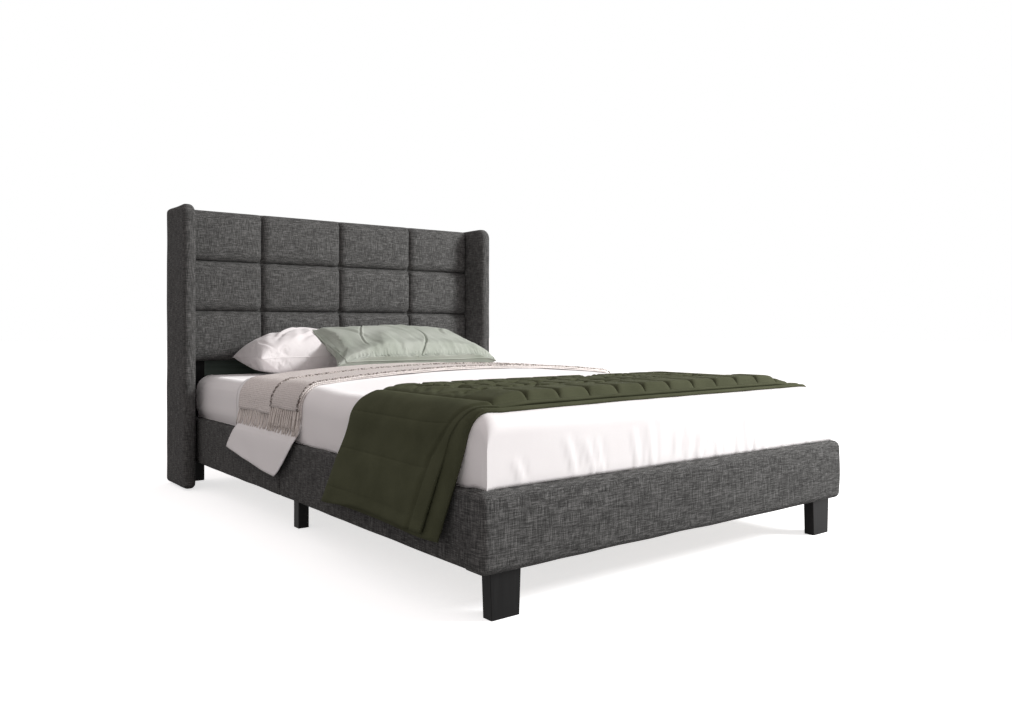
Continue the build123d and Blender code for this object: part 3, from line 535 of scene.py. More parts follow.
def cotton(name, shade, light, sheen):
    """Smooth cotton: a fine even weave, with a faint slow change of tone across it."""
    material = new_material(name, Roughness=0.8, Specular_IOR_Level=0.5, Sheen_Weight=sheen)
    yarn = speckle(material, coordinates(material, scale=(900, 900, 900)), detail=1)
    tone = speckle(material, coordinates(material, scale=(7, 7, 7)), detail=2)
    mixed = combine(material, "MULTIPLY", yarn, 0.25)
    total = combine(material, "ADD", mixed, combine(material, "MULTIPLY", tone, 0.75))
    return finish_material(material, shades(material, total, (0.3, shade), (0.7, light)), yarn, 0.0002)


white_cotton = cotton("white_cotton", (0.92, 0.895, 0.895), (0.97, 0.95, 0.95), 1.0)
side_room = Vector((sheet_bulge, 0, 0))
sheet_ends = (sheet_low - side_room, sheet_high + side_room)
bm = bedding_block(*sheet_ends, mattress_corner, mattress_edge, sheet_spacing)
hem_gap = 0.09
rail_height = 0.3
under = [
    face
    for face in bm.faces
    if face.calc_center_median().z < sheet_low.z + 0.002
    and abs(face.calc_center_median().x) < sheet_high.x - hem_gap
    and sheet_low.y + hem_gap < face.calc_center_median().y < sheet_high.y - hem_gap
]
bmesh.ops.delete(bm, geom=under, context="FACES")
for vert in bm.verts:
    drawn = max(0, (sheet_high.z - vert.co.z) / (sheet_high.z - sheet_low.z))
    pull = drift(vert.co.x * 26, vert.co.y * 26, vert.co.z * 6)
    if abs(vert.co.x) > sheet_high.x - 0.02:
        vert.co.x *= 1 + 0.003 * pull * drawn
    if vert.co.z < rail_height:
        vert.co.x = min(max(vert.co.x, -sheet_high.x), sheet_high.x)
sheet = add_piece("bottom_sheet", bm, white_cotton, "mattress")
thicken(sheet, sheet_thick)
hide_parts("fitted_sheet")

# The coverlet: one large white cotton sheet over the mattress and the bottom sheet. It is tucked in along
# both sides and mitred at the foot, rises where it is folded back double under the knitted throw, and a
# loose corner of it hangs over the left rail.
cover_low, cover_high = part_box("coverlet")
foot_end = cad_low.y
bed_half = 0.706
bed_round = 0.072
corner_round = 0.036
corner_run = 0.25
flat_half = bed_half - bed_round
quarter = bed_round * pi / 2
shoulder_height = 0.461
crown_rise = 0.001
fold_shoulder_lift = 0.009
fold_crown_lift = 0.031
fold_start = foot_end + 0.735
fold_end = foot_end + 0.94
foot_round = 0.045
tuck_height = 0.028
tuck_depth = 0.003
cover_thick = 0.0025
cover_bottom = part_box("side_rail_cover_front_left")[1].z + 0.0005
foot_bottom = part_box("foot_rail_cover")[1].z + 0.0005


def eased(value, start, end):
    """From 0 at the start to 1 at the end, easing in and out."""
    share = min(max((value - start) / (end - start), 0), 1)
    return share * share * (3 - 2 * share)


def bed_heights(y):
    """Heights of the coverlet's shoulders and of its crown at one place along the bed."""
    rise = eased(y, fold_start, fold_end)
    reach = max(0, foot_round - (y - cover_low.y))
    drop = foot_round - sqrt(max(foot_round ** 2 - reach ** 2, 0))
    shoulder = shoulder_height + fold_shoulder_lift * rise - drop
    return shoulder, shoulder + crown_rise + fold_crown_lift * rise


def rounding(y):
    """Radius of the bed's shoulders, tighter at the foot's corners."""
    return corner_round + (bed_round - corner_round) * eased(y, cover_low.y, cover_low.y + corner_run)


def over_bed(distance, y, lift):
    """A point over the bed, a distance along the cloth from the middle and lifted off the coverlet."""
    side = 1 if distance > 0 else -1
    reach = abs(distance)
    radius = rounding(y)
    flat = bed_half - radius
    shoulder, crown = bed_heights(y)
    if reach <= flat:
        z = shoulder + (crown - shoulder) * (1 - (reach / flat) ** 2) + lift
        return Vector((distance, y, z))
    angle = min((reach - flat) / radius, pi / 2)
    down = max(0, reach - flat - radius * pi / 2)
    x = flat + (radius + lift) * sin(angle)
    z = shoulder - radius + (radius + lift) * cos(angle) - down
    return Vector((side * x, y, z))


def cloth_grid(across, along, place):
    """A sheet of small squares, laid by a rule that takes each point's share of its width and length."""
    bm = bmesh.new()
    bm.loops.layers.uv.new("UVMap")
    bmesh.ops.create_grid(bm, x_segments=across, y_segments=along, size=0.5, calc_uvs=True)
    for vert in bm.verts:
        vert.co = place(vert.co.x + 0.5, vert.co.y + 0.5)
    return bm


side_cuts = 14
shoulder_cuts = 8
top_cuts = 112
cover_columns = 2 * side_cuts + 2 * shoulder_cuts + top_cuts
length_cuts = 120
cover_rows = side_cuts + shoulder_cuts + length_cuts


def tucked(height):
    """How far the cloth turns in towards the mattress just above the rail."""
    return tuck_depth * max(0, (cover_bottom + tuck_height - height) / tuck_height) ** 2


# Gathers along the foot, each as where it meets the rail, where it dies out above, and how high it reaches.
foot_gathers = (
    (-0.6, -0.63, 0.36), (-0.433, -0.469, 0.4), (-0.368, -0.406, 0.39), (-0.347, -0.368, 0.385),
    (-0.212, -0.231, 0.4), (-0.155, -0.17, 0.415), (-0.067, -0.05, 0.39), (-0.01, 0.0, 0.37),
    (0.034, 0.052, 0.37), (0.12, 0.11, 0.36), (0.215, 0.206, 0.395), (0.263, 0.249, 0.42),
    (0.298, 0.278, 0.385), (0.303, 0.313, 0.39), (0.348, 0.378, 0.38), (0.44, 0.5, 0.36),
    (0.5, 0.57, 0.355), (0.57, 0.63, 0.35),
)
gather_width = 0.0058
gather_depth = 0.0088


def gathered(x, z):
    """How far the foot's gathers stand out at one point."""
    total = 0
    for foot_x, top_x, top_z in foot_gathers:
        share = max(0, z - foot_bottom) / (top_z - foot_bottom)
        if share >= 1:
            continue
        middle = foot_x + (top_x - foot_x) * share ** 1.3
        wide = gather_width * (0.75 + share)
        away = (x - middle) / wide
        total += (1 - share) ** 0.7 * share ** 0.15 * (exp(-away * away) - 0.6 * exp(-(away - 1.9) ** 2))
    return gather_depth * total


def cover_place(across, along):
    """The coverlet as one cloth: its top, and its falls over both sides and the foot."""
    column = round(across * cover_columns)
    side = -1 if column < cover_columns / 2 else 1
    inwards = min(column, cover_columns - column)
    row = round(along * cover_rows)
    side_fall = max(0, 1 - inwards / side_cuts)
    foot_fall = max(0, 1 - row / side_cuts)
    shoulder_share = min(max(0, inwards - side_cuts) / shoulder_cuts, 1)
    top_share = max(0, inwards - side_cuts - shoulder_cuts) / (top_cuts / 2)
    edge_share = min(max(0, row - side_cuts) / shoulder_cuts, 1)
    length_share = max(0, row - side_cuts - shoulder_cuts) / length_cuts
    y = cover_low.y + foot_round * (1 - cos(edge_share * pi / 2))
    y += (cover_high.y - cover_low.y - foot_round) * length_share
    radius = rounding(y)
    reach = (bed_half - radius) * (1 - top_share) + radius * pi / 2 * (1 - shoulder_share)
    point = over_bed(side * reach, y, 0)
    bottom = foot_bottom + (cover_bottom - foot_bottom) * eased(y, foot_end + 0.07, foot_end + 0.1)
    point.z += (bottom - point.z) * max(side_fall, foot_fall)
    from_corner = min(1, (bed_half - abs(point.x)) / 0.03)
    if foot_fall > 0:
        point.y += tucked(point.z) * from_corner - gathered(point.x, point.z) * from_corner
    if side_fall > 0:
        point.x -= side * tucked(point.z) * min(1, (y - cover_low.y) / 0.03)
    if side_fall > 0 and foot_fall > 0:
        point.z = 0
    return point


bm = cloth_grid(cover_columns, cover_rows, cover_place)
spare = [vert for vert in bm.verts if vert.co.z < 0.01]
bmesh.ops.delete(bm, geom=spare, context="VERTS")
bmesh.ops.remove_doubles(bm, verts=bm.verts, dist=0.0002)
for vert in bm.verts:
    slack = 0.0016 * drift(vert.co.x * 5, vert.co.y * 5, vert.co.z * 9)
    slack += 0.0007 * drift(vert.co.x * 17, vert.co.y * 17, vert.co.z * 12)
    vert.co.z += slack
    if abs(vert.co.x) > bed_half - 0.016 and vert.co.y > cover_low.y + 0.01:
        hang = min(max(0, (shoulder_height - bed_round - vert.co.z) / 0.12), 1)
        pull = drift(4, vert.co.y * 11 + 1.5 * hang, 2 + 2 * hang)
        vert.co.x += 0.0035 * pull * hang
coverlet = add_piece("coverlet_cloth", bm, white_cotton, "coverlet")
thicken(coverlet, cover_thick)

# The loose corner's section, as places out from the bed's middle and up, with where its front and back
# edges run.
flap_line = (
    (0.7085, 0.352), (0.7105, 0.338), (0.7145, 0.325), (0.7205, 0.3135), (0.7275, 0.303),
    (0.7335, 0.29), (0.7365, 0.273), (0.7385, 0.25), (0.74, 0.222), (0.7415, 0.196), (0.743, 0.172),
)
flap_front = (0.948, 0.95, 0.952, 0.953, 0.956, 0.96, 0.972, 0.992, 1.018, 1.046, 1.081)
flap_back = (1.43, 1.432, 1.435, 1.437, 1.44, 1.444, 1.452, 1.464, 1.477, 1.487, 1.495)
flap_back_rise = 0.049
flap_thick = 0.0022


def between(values, share):
    """The value at a share of the way through a row of values, on a straight line between neighbours."""
    place = min(max(share, 0), 1) * (len(values) - 1)
    number = min(int(place), len(values) - 2)
    return values[number] + (values[number + 1] - values[number]) * (place - number)


def flap_place(across, along):
    """The loose corner: down over the rail, longer at its front tip than behind."""
    x = between([point[0] for point in flap_line], across)
    z = between([point[1] for point in flap_line], across)
    front = between(flap_front, across)
    back = between(flap_back, across)
    hang = max(0, (0.3 - z) / 0.128)
    y = front + (back - front) * along
    wave = drift(2, y * 9 + hang, hang)
    x += hang * (0.002 + 0.004 * wave)
    z += flap_back_rise * along * hang - 0.004 * sin(pi * along) * hang
    return Vector((-x, foot_end + y, z))


bm = cloth_grid(36, 60, flap_place)
bmesh.ops.reverse_faces(bm, faces=bm.faces)
flap = add_piece("coverlet_flap", bm, white_cotton, "coverlet")
thicken(flap, flap_thick, 0)
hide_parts("coverlet")
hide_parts("coverlet")

# The quilted throw: olive cotton velvet over wadding, folded double with the fold towards the pillows. Its
# upper layer is sewn in channels along the bed, each tied across into soft puffs, and both hems are bound.
quilt_front = foot_end + 0.074
quilt_turn = 0.026
quilt_back = foot_end + 0.604
quilt_step = 0.016
quilt_side_step = 0.044
quilt_thick = 0.0078
quilt_low_lift = 0.001
quilt_high_lift = 0.0172
quilt_shoulder_drop = 0.0055
quilt_flare = 0.042
quilt_shoulder_slant = 0.045
quilt_front_slant = 0.062
quilt_back_slant = 0.072
quilt_corner_drop = 0.012
drape_start = flat_half + quarter
drape_length = 0.231
quilt_half = drape_start + drape_length
channel_pitch = 0.1112
channel_shift = 0.016
channel_round = 0.02
channel_rise = 0.033
row_round = 0.019
puff_rise = 0.02
seam_bunching = 0.7
lower_rows = 14
fold_rows = 8
upper_rows = 100
quilt_rows = lower_rows + fold_rows + upper_rows
hem_width = 0.03
side_hem_width = 0.055
first_row = 0.13
side_puff_rise = 0.0032
tie_width = 0.011
pucker_width = 0.12
hem_groove = 0.006
hem_stitch = 0.005
olive = new_material("olive_velvet", Roughness=0.85, Specular_IOR_Level=0.05)
pile = speckle(olive, coordinates(olive, scale=(650, 650, 650)), detail=2)
worn = speckle(olive, coordinates(olive, scale=(11, 11, 11)), detail=3)
pile_part = combine(olive, "MULTIPLY", pile, 0.4)
olive_mix = combine(olive, "ADD", pile_part, combine(olive, "MULTIPLY", worn, 0.6))
olive_tone = shades(olive, olive_mix, (0.3, (0.056, 0.06, 0.034)), (0.7, (0.088, 0.094, 0.056)))
finish_material(olive, olive_tone, pile, 0.0006)


def drape_share(distance):
    """How far down a side's drape a point lies, from 0 at the shoulder to 1 at the hem."""
    return max(0, abs(distance) - drape_start) / drape_length


def on_shoulder(distance):
    """How far round a shoulder a point lies, from 0 on the bed's flat top to 1 where the drape starts."""
    return min(max(abs(distance) - flat_half, 0) / quarter, 1)


def quilt_edge(distance, back):
    """Where the quilt's front or back edge runs, at one distance across."""
    share = drape_share(distance)
    if back:
        wander = 0.006 * drift(distance * 4, 7, 1)
        return quilt_back + wander + 0.02 * on_shoulder(distance) + quilt_back_slant * share
    wander = 0.003 * drift(distance * 6, 3, 1) + quilt_turn * distance / bed_half
    slant = quilt_shoulder_slant * (distance < 0) * on_shoulder(distance) ** 1.5
    return quilt_front + wander + slant + quilt_front_slant * share


def dome(distance, radius):
    """A quarter round from nothing at a seam to full height one radius away."""
    return sqrt(1 - (1 - min(max(distance, 0) / radius, 1)) ** 2)


def channel_offset(distance):
    """How far the channels move up each drape, eased in over the shoulder."""
    offset = channel_rise * eased(abs(distance), flat_half - 0.03, drape_start + 0.04)
    return offset if distance > 0 else -offset


def puffed(distance, ahead, seed):
    """Height of the wadding: sewn flat along the channels and the hem, puckered behind the first row."""
    channel = (distance + channel_offset(distance) + channel_shift) / channel_pitch + 0.5
    from_seam = (0.5 - abs(channel % 1 - 0.5)) * channel_pitch
    on_side = min(drape_share(distance) * 5, 1)
    on_top = 1 - eased(abs(distance), 0.54, 0.66)
    hem = hem_width + (side_hem_width - hem_width) * on_side
    round_share = dome(from_seam, channel_round) * dome(ahead - hem, row_round)
    row_end = hem_width + first_row + 0.03 * drift(floor(channel) * 5.3, seed, 2)
    behind = min(max(0, ahead - row_end) / 0.02, 1)
    tie = exp(-(((ahead - row_end) / tie_width) ** 2)) * on_top
    bend = 0.8 * drift(distance * 20, 4, 4)
    pucker = drift(distance * 10, ahead * 17 + bend, seed)
    fold = max(0, 1 - abs(pucker) / pucker_width) * behind * on_top
    filling = 1.12 - 0.12 * behind - 0.7 * tie - 0.75 * fold - 0.2 * behind * on_top
    height = puff_rise * round_share * filling
    side_height = side_puff_rise * round_share
    return height + (side_height - height) * eased(abs(distance), 0.55, 0.68)


def quilt_place(across, along):
    """One cloth: the lower layer from its hem to the fold, round it, and the upper layer back again."""
    offset = channel_shift + channel_offset((2 * across - 1) * quilt_half)
    channel, place = divmod(((2 * across - 1) * quilt_half + offset) / channel_pitch + 0.5, 1)
    place -= seam_bunching * sin(2 * pi * place) / (2 * pi)
    distance = (channel + place - 0.5) * channel_pitch - offset
    share = drape_share(distance)
    thinned = eased(abs(distance), 0.53, flat_half) * (1 - eased(share, 0.1, 0.5))
    high_lift = quilt_high_lift - quilt_shoulder_drop * thinned
    fold_radius = (high_lift - quilt_low_lift) / 2
    row = round(along * quilt_rows)
    upper = eased(row - lower_rows - fold_rows, 0, upper_rows * 0.4)
    distance *= 1 - quilt_step * upper * share / quilt_half
    side_step = quilt_side_step * on_shoulder(distance) * (1 if distance < 0 else 0.25)
    front = quilt_edge(distance, False) + upper * (quilt_step + side_step)
    back = quilt_edge(distance, True)
    if row <= lower_rows:
        y, lift = front + (back - front) * row / lower_rows, quilt_low_lift
    elif row <= lower_rows + fold_rows:
        turn = (row - lower_rows) / fold_rows * pi
        y = back + fold_radius * 1.6 * sin(turn)
        lift = quilt_low_lift + fold_radius * (1 - cos(turn))
    else:
        y, lift = back + (front - back) * (row - lower_rows - fold_rows) / upper_rows, high_lift
        lift += puffed(distance, y - front, 1) - 0.002 * (1 - min((back - y) / 0.03, 1))
        hem = hem_width + (side_hem_width - hem_width) * min(share * 5, 1)
        lift -= hem_groove * exp(-(((y - front - hem) / hem_stitch) ** 2))
    slack = 0.004 * drift(distance * 3, y * 4, 5) * min(1, 0.3 + share)
    point = over_bed(distance, y, lift)
    side = 1 if distance > 0 else -1
    if share > 0:
        hem_line = exp(-(((1 - share) * drape_length - hem_width) / 0.003) ** 2)
        fold = 0.004 * share * sin(9 * (y - front) + 2 * share)
        point.x += side * (quilt_flare * share ** 1.2 + fold - 0.002 * hem_line)
    point.x += side * slack * (share > 0)
    point.z -= quilt_corner_drop * share * (1 - eased(y, quilt_front, quilt_front + 0.4))
    return point


bm = cloth_grid(380, quilt_rows, quilt_place)
bmesh.ops.reverse_faces(bm, faces=bm.faces)
quilt = add_piece("quilted_throw", bm, olive, "quilt_throw")
thicken(quilt, quilt_thick)
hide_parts("quilt_throw")

# The knitted throw: fine cream cotton knit, folded lengthwise so that a narrower layer lies on the wider
# one. A cable runs along each long edge of the upper layer, and knotted tassels hang from both layers'
# ends.
knit_front = foot_end + 0.9464
knit_width = 0.508
knit_fold_width = 0.223
knit_drop = 0.106
knit_fold_drop = 0.08
knit_thick = 0.004
knit_low_lift = 0.0045
knit_high_lift = 0.0095
tassel_pitch = 0.0145
tassel_strands = 4
strand_radius = 0.0019
strand_steps = 5
cable_radius = 0.0026
cable_swing = 0.0044
cable_period = 0.026
cable_inset = 0.01
cream = new_material("cream_knit", Roughness=0.95, Specular_IOR_Level=0.1)
stitch = 0.007
stitch_scale = (1.65 / stitch, knit_width / stitch, 1)
stitch_inputs = {"Vector": coordinates(cream, "UV", stitch_scale), "Scale": 1, "Randomness": 0.35}
stitches = add_node(cream, "TexVoronoi", stitch_inputs).outputs["Distance"]
cream_tone = shades(cream, stitches, (0.1, (0.95, 0.9, 0.87)), (0.9, (0.58, 0.53, 0.5)))
finish_material(cream, cream_tone, combine(cream, "SUBTRACT", 1.0, stitches), 0.003)
knit_shine = {"Roughness": 0.95, "Specular_IOR_Level": 0.1}
yarn_tones = {"dark": (0.68, 0.62, 0.57), "light": (0.9, 0.85, 0.81)}
yarn = mottled("cream_yarn", (700, 700, 700), relief=0.0005, detail=1, **yarn_tones, **knit_shine)
# The cords' yarn is speckled from near black to pale: the dark speckles are painted shade, standing in for
# the shadowed gaps between the twisted strands.
cord_painted_shade_tones = {"dark": (0.2, 0.17, 0.15), "light": (0.8, 0.75, 0.72), "stops": (0.42, 0.56)}
cord_yarn_painted_shade = mottled("cord_yarn_painted_shade", (170, 170, 170), relief=0.001, **cord_painted_shade_tones, **knit_shine)


def knit_layer(name, width, drop, lift, rows):
    """One layer of the knitted throw, over both shoulders of the bed."""
    half = flat_half + quarter + drop - bed_round

    def place(across, along):
        distance = (2 * across - 1) * half
        hang = max(0, abs(distance) - drape_start) / (half - drape_start)
        wander = 0.006 * drift(distance * 5, along * 2, lift * 900)
        y = knit_front + width * along + wander
        ridge = 0.0012 * drift(distance * 14, y * 14, 3 + lift * 500)
        point = over_bed(distance, y, lift + ridge)
        wave = 0.003 * sin(y * 34 + 2) * hang
        point.x += (wave + 0.003 * hang) * (1 if distance > 0 else -1)
        return point

    bm = cloth_grid(190, rows, place)
    piece = add_piece(name, bm, cream, "knit_throw")
    thicken(piece, knit_thick, 0)
    return piece


def add_tube(bm, points, radius, sides):
    """A round cord along a row of points."""
    rings = []
    for number, point in enumerate(points):
        ahead = points[min(number + 1, len(points) - 1)] - points[max(number - 1, 0)]
        turn = ahead.to_track_quat("Z", "X")
        ring = []
        for side in range(sides):
            angle = 2 * pi * side / sides
            ring.append(bm.verts.new(point + turn @ Vector((radius * cos(angle), radius * sin(angle), 0))))
        rings.append(ring)
    for start, end in zip(rings, rings[1:]):
        for side in range(sides):
            follow = (side + 1) % sides
            bm.faces.new((start[side], start[follow], end[follow], end[side]))
    bm.faces.new(reversed(rings[0]))
    bm.faces.new(rings[-1])


def tassels(bm, width, drop, lift, length):
    """Bundles of yarn along a layer's two ends, drawn together just below it and loose at the tips."""
    count = round(width / tassel_pitch)
    shoulder = shoulder_height + fold_shoulder_lift
    for side in (-1, 1):
        for number in range(count):
            y = knit_front + width * (number + 0.5) / count
            top = Vector((side * (bed_half + lift), y, shoulder - drop + 0.002))
            for strand in range(tassel_strands):
                seed = Vector((number * 1.7, strand * 3.1, side + lift * 800))
                from_middle = strand - (tassel_strands - 1) / 2
                sway = 0.016 * drift(number * 1.7, side, lift * 800) + 0.0011 * from_middle
                out = 0.0125 + 0.003 * abs(noise.noise(seed))
                reach = length * (0.82 + 0.22 * abs(noise.noise(seed + Vector((9, 0, 0)))))
                points = []
                for step in range(strand_steps + 1):
                    share = step / strand_steps
                    curl = 0.0012 * sin(6 * share + strand * 2)
                    fan = 0.0018 * from_middle * exp(-share * 4)
                    offset = Vector((side * out * share, sway * share + curl + fan, -reach * share))
                    points.append(top + offset)
                add_tube(bm, points, strand_radius, 5)


def cable(bm, distance_from_front, lift):
    """Two strands wound round each other along the layer, over both shoulders."""
    half = flat_half + quarter + knit_fold_drop - bed_round
    count = 420
    for strand in range(2):
        points = []
        for step in range(count + 1):
            distance = (2 * step / count - 1) * half
            angle = 2 * pi * distance / cable_period + pi * strand
            wander = 0.006 * drift(distance * 5, distance_from_front, 4)
            y = knit_front + distance_from_front + wander + cable_swing * cos(angle)
            points.append(over_bed(distance, y, lift + cable_radius * sin(angle)))
        add_tube(bm, points, cable_radius, 6)


knit_lower = knit_layer("knitted_throw", knit_width, knit_drop, knit_low_lift, 50)
knit_upper = knit_layer("knitted_throw_fold", knit_fold_width, knit_fold_drop, knit_high_lift, 24)
bm = bmesh.new()
tassels(bm, knit_width, knit_drop, knit_low_lift, 0.064)
tassels(bm, knit_fold_width, knit_fold_drop, knit_high_lift, 0.07)
knit_fringe = add_piece("knitted_fringe", bm, yarn, "knit_throw")
bm = bmesh.new()
for place in (cable_inset, knit_fold_width - cable_inset):
    cable(bm, place, knit_high_lift + 0.0025)
knit_cables = add_piece("knitted_cables", bm, cord_yarn_painted_shade, "knit_throw")
for piece in (knit_lower, knit_upper, knit_fringe, knit_cables):
    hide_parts("knit_throw")

# The pillows: two white sleeping pillows side by side, and one long sage pillow that leans on both. Each
# cover is blown up as cloth, so that it wrinkles where its seams draw it in, and is then creased where it
# is pressed.
pillow_seam = 0.529
pillow_spacing = 0.012
sewn_in = 0.045
long_seam_draw = 1.4
cover_voxel = 0.006
filling_frames = 20
filling_pressure = 4


def full_share(u, v):
    """How full a pillow is at one place, from its seam to its middle."""
    return max(0, 1 - abs(u) ** 1.7) ** 0.55 * max(0, 1 - abs(v) ** 2.2) ** 0.55


def pillow_mesh(low, high, seam_height, fullness):
    """A pillow's cover before it is filled: drawn in along its sides, with flat pointed corners."""
    bm = box_mesh(low, high)
    for axis in (0, 1):
        slice_up(bm, axis, even_places(low[axis], high[axis], pillow_spacing))
    middle = (low + high) / 2
    half = (high - low) / 2
    for vert in bm.verts:
        u = (vert.co.x - middle.x) / half.x
        v = (vert.co.y - middle.y) / half.y
        reach = high.z - seam_height if vert.co.z > middle.z else low.z - seam_height
        vert.co.z = seam_height + reach * fullness * full_share(u, v)
        vert.co.x -= half.x * sewn_in * (1 - v * v) * u * abs(u) ** 3
        vert.co.y -= half.y * long_seam_draw * sewn_in * (1 - u * u) * v * abs(v) ** 3
    bmesh.ops.remove_doubles(bm, verts=bm.verts, dist=0.0006)
    return bm


def settled(piece):
    """The piece's mesh with its modifiers worked in, at the present frame."""
    return bpy.data.meshes.new_from_object(piece.evaluated_get(bpy.context.evaluated_depsgraph_get()))


def blow_up(bm, reach):
    """Fills a cover as cloth under even pressure, each point moving no further than its reach."""
    mesh = bpy.data.meshes.new("cover")
    bm.to_mesh(mesh)
    bm.free()
    cover = link_object("cover", mesh)
    remesh = cover.modifiers.new("remesh", "REMESH")
    remesh.mode = "VOXEL"
    remesh.voxel_size = cover_voxel
    remeshed = settled(cover)
    cover.modifiers.clear()
    cover.data = remeshed
    start = [vert.co.copy() for vert in remeshed.vertices]
    cloth = cover.modifiers.new("cloth", "CLOTH")
    cloth.settings.use_pressure = True
    cloth.settings.uniform_pressure_force = filling_pressure
    cloth.settings.effector_weights.gravity = 0
    cloth.settings.quality = 6
    cloth.settings.bending_stiffness = 0.4
    scene = bpy.context.scene
    for number in range(1, filling_frames + 1):
        scene.frame_set(number)
    result = settled(cover)
    scene.frame_set(1)
    for vert, place in zip(result.vertices, start):
        move = vert.co - place
        vert.co = place + move * min(1, reach / max(move.length, 1e-9))
    bpy.data.objects.remove(cover)
    filled = bmesh.new()
    filled.from_mesh(result)
    bmesh.ops.subdivide_edges(filled, edges=filled.edges, cuts=1, use_grid_fill=True)
    all_axes = {"use_axis_x": True, "use_axis_y": True, "use_axis_z": True}
    bmesh.ops.smooth_vert(filled, verts=filled.verts, factor=0.5, **all_axes)
    for spare in (mesh, remeshed, result):
        bpy.data.meshes.remove(spare)
    return filled


def crease(bm, start, end, width, depth, bend=0.0):
    """Presses one soft fold into a cover's top between two places, bowed, with a ridge beside it."""
    start, end = Vector(start), Vector(end)
    ahead = end - start
    across = Vector((-ahead.y, ahead.x)).normalized()
    for vert in bm.verts:
        if vert.normal.z < -0.2:
            continue
        offset = Vector((vert.co.x, vert.co.y)) - start
        share = offset.dot(ahead) / ahead.length_squared
        if not 0 < share < 1:
            continue
        away = (offset.dot(across) - bend * 4 * share * (1 - share)) / width
        strength = sin(pi * share) ** 0.6
        vert.co.z += depth * strength * (0.7 * exp(-((away - 1.3) ** 2)) - exp(-away * away))


def edge_cord(bm, low, high, seam_height, radius, inset):
    """A cord sewn along the cover's seam, all the way round."""
    surface = BVHTree.FromBMesh(bm)
    middle, half = (low + high) / 2, (high - low) / 2
    line = []
    count = 240
    for number in range(count):
        turn = 4 * number / count
        side, share = int(turn), 2 * (turn % 1) - 1
        u, v = ((share, -1), (1, share), (-share, 1), (-1, -share))[side]
        x = middle.x + half.x * u * (1 - sewn_in * (1 - v * v) * abs(u) ** 3)
        y = middle.y + half.y * v * (1 - long_seam_draw * sewn_in * (1 - u * u) * abs(v) ** 3)
        found = surface.find_nearest(Vector((x, y, seam_height)))
        outwards = (Vector((x, y, seam_height)) - middle).normalized()
        line.append(found[0] + outwards * inset)
    cord = bmesh.new()
    add_tube(cord, line + line[:1], radius, 6)
    return cord


pillow_cotton = cotton("pillow_cotton", (0.79, 0.755, 0.755), (0.86, 0.83, 0.83), 0.5)
sage = cotton("sage_linen", (0.3, 0.335, 0.28), (0.45, 0.48, 0.43), 0.05)

# The left pillow's creases, each as its two ends, counted from the bed's middle and foot end, then its
# width, depth and bow. The right pillow has the same ones, further over.
white_creases = (
    ((-0.5, 1.85), (-0.34, 1.7), 0.012, 0.004, -0.015),
    ((-0.45, 1.72), (-0.2, 1.83), 0.012, 0.009, 0.03),
    ((-0.4, 1.68), (-0.1, 1.74), 0.01, 0.007, 0.02),
    ((-0.3, 1.95), (-0.05, 1.86), 0.01, 0.007, 0.02),
    ((-0.47, 1.68), (-0.5, 1.8), 0.008, 0.006, 0.01),
    ((-0.47, 1.68), (-0.36, 1.88), 0.022, 0.006, 0.01),
    ((-0.36, 1.66), (-0.3, 1.84), 0.02, 0.006, -0.01),
)
right_shift = 0.6
right_shrink = Vector((0.03, 0, 0.02))
accent_low, accent_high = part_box("accent_pillow")
accent_middle = Vector(((accent_low.x + accent_high.x) / 2 + 0.008, foot_end + 1.636, 0.578))
accent_half = Vector((0.378, 0.196, 0.057))
accent_tilt = Matrix.Translation(accent_middle) @ Matrix.Rotation(radians(18.5), 4, "X")
accent_taper = 0.055
press_rise = 1.3
back_rise = 4
belly_share = 0.7
ridge_middle = -0.13
ridge_lean = 0.08
left_fall = 0.17
ridge_height = 0.011
flap_edge = 0.08
flap_bow = 0.13
back_corner_rise = 0.01
front_lift = 0.023
front_corner_drop = 0.018
front_corner_reach = 0.03
flap_height = 0.005
flap_groove = 0.012
gathers = 44
gather_inset = 0.004


def pressed_height(place):
    """How high, in the sage pillow's own frame, the pillows under and beside it may reach."""
    outside = max(abs(place.x) - accent_half.x, -place.y - accent_half.y, 0)
    rise = max(outside * press_rise, (place.y - accent_half.y) * back_rise)
    return rise - accent_half.z * full_share(place.x / accent_half.x, place.y / accent_half.y)


for name in ("pillow_left", "pillow_right"):
    low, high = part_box(name)
    low.z -= 0.001
    if name == "pillow_right":
        high -= right_shrink
    bm = blow_up(pillow_mesh(low, high, pillow_seam, 0.84), 0.02)
    bm.normal_update()
    for start, end, width, depth, bend in white_creases:
        shift = 0 if name == "pillow_left" else right_shift
        places = [(x + shift, y + foot_end) for x, y in (start, end)]
        crease(bm, *places, width, depth, bend)
    for vert in bm.verts:
        place = accent_tilt.inverted() @ vert.co
        place.z = min(place.z, pressed_height(place))
        vert.co = accent_tilt @ place
        vert.co.z = max(vert.co.z, low.z)
    cord = edge_cord(bm, low, high, pillow_seam, 0.0016, 0.0005)
    pillow = add_piece(f"sleeping_{name}", bm, pillow_cotton, name)
    piping = add_piece(f"seam_{name}", cord, pillow_cotton, name)
    for piece in (pillow, piping):
        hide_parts(name)
bm = blow_up(pillow_mesh(-accent_half, accent_half, 0, 0.8), 0.016)
bm.normal_update()
for vert in bm.verts:
    across, along = vert.co.x / accent_half.x, vert.co.y / accent_half.y
    if vert.co.z < 0:
        vert.co.y -= belly_share * accent_half.y * (1 + along) * (1 - eased(along, -0.8, -0.4))
        vert.co.x -= belly_share * accent_half.x * (1 + across) * (1 - eased(across, -0.9, -0.6))
    else:
        ridge = ridge_middle + ridge_lean * along
        fullness = vert.co.z / accent_half.z
        fall = left_fall * (1 - eased(along, -0.5, 0.5))
        vert.co.z -= fall * max(0, ridge - vert.co.x) * fullness
        risen = ridge_height * exp(-(((vert.co.x - ridge - 0.02) / 0.045) ** 2)) * fullness
        vert.co.z += risen * (1 - eased(along, -0.4, 0.3))
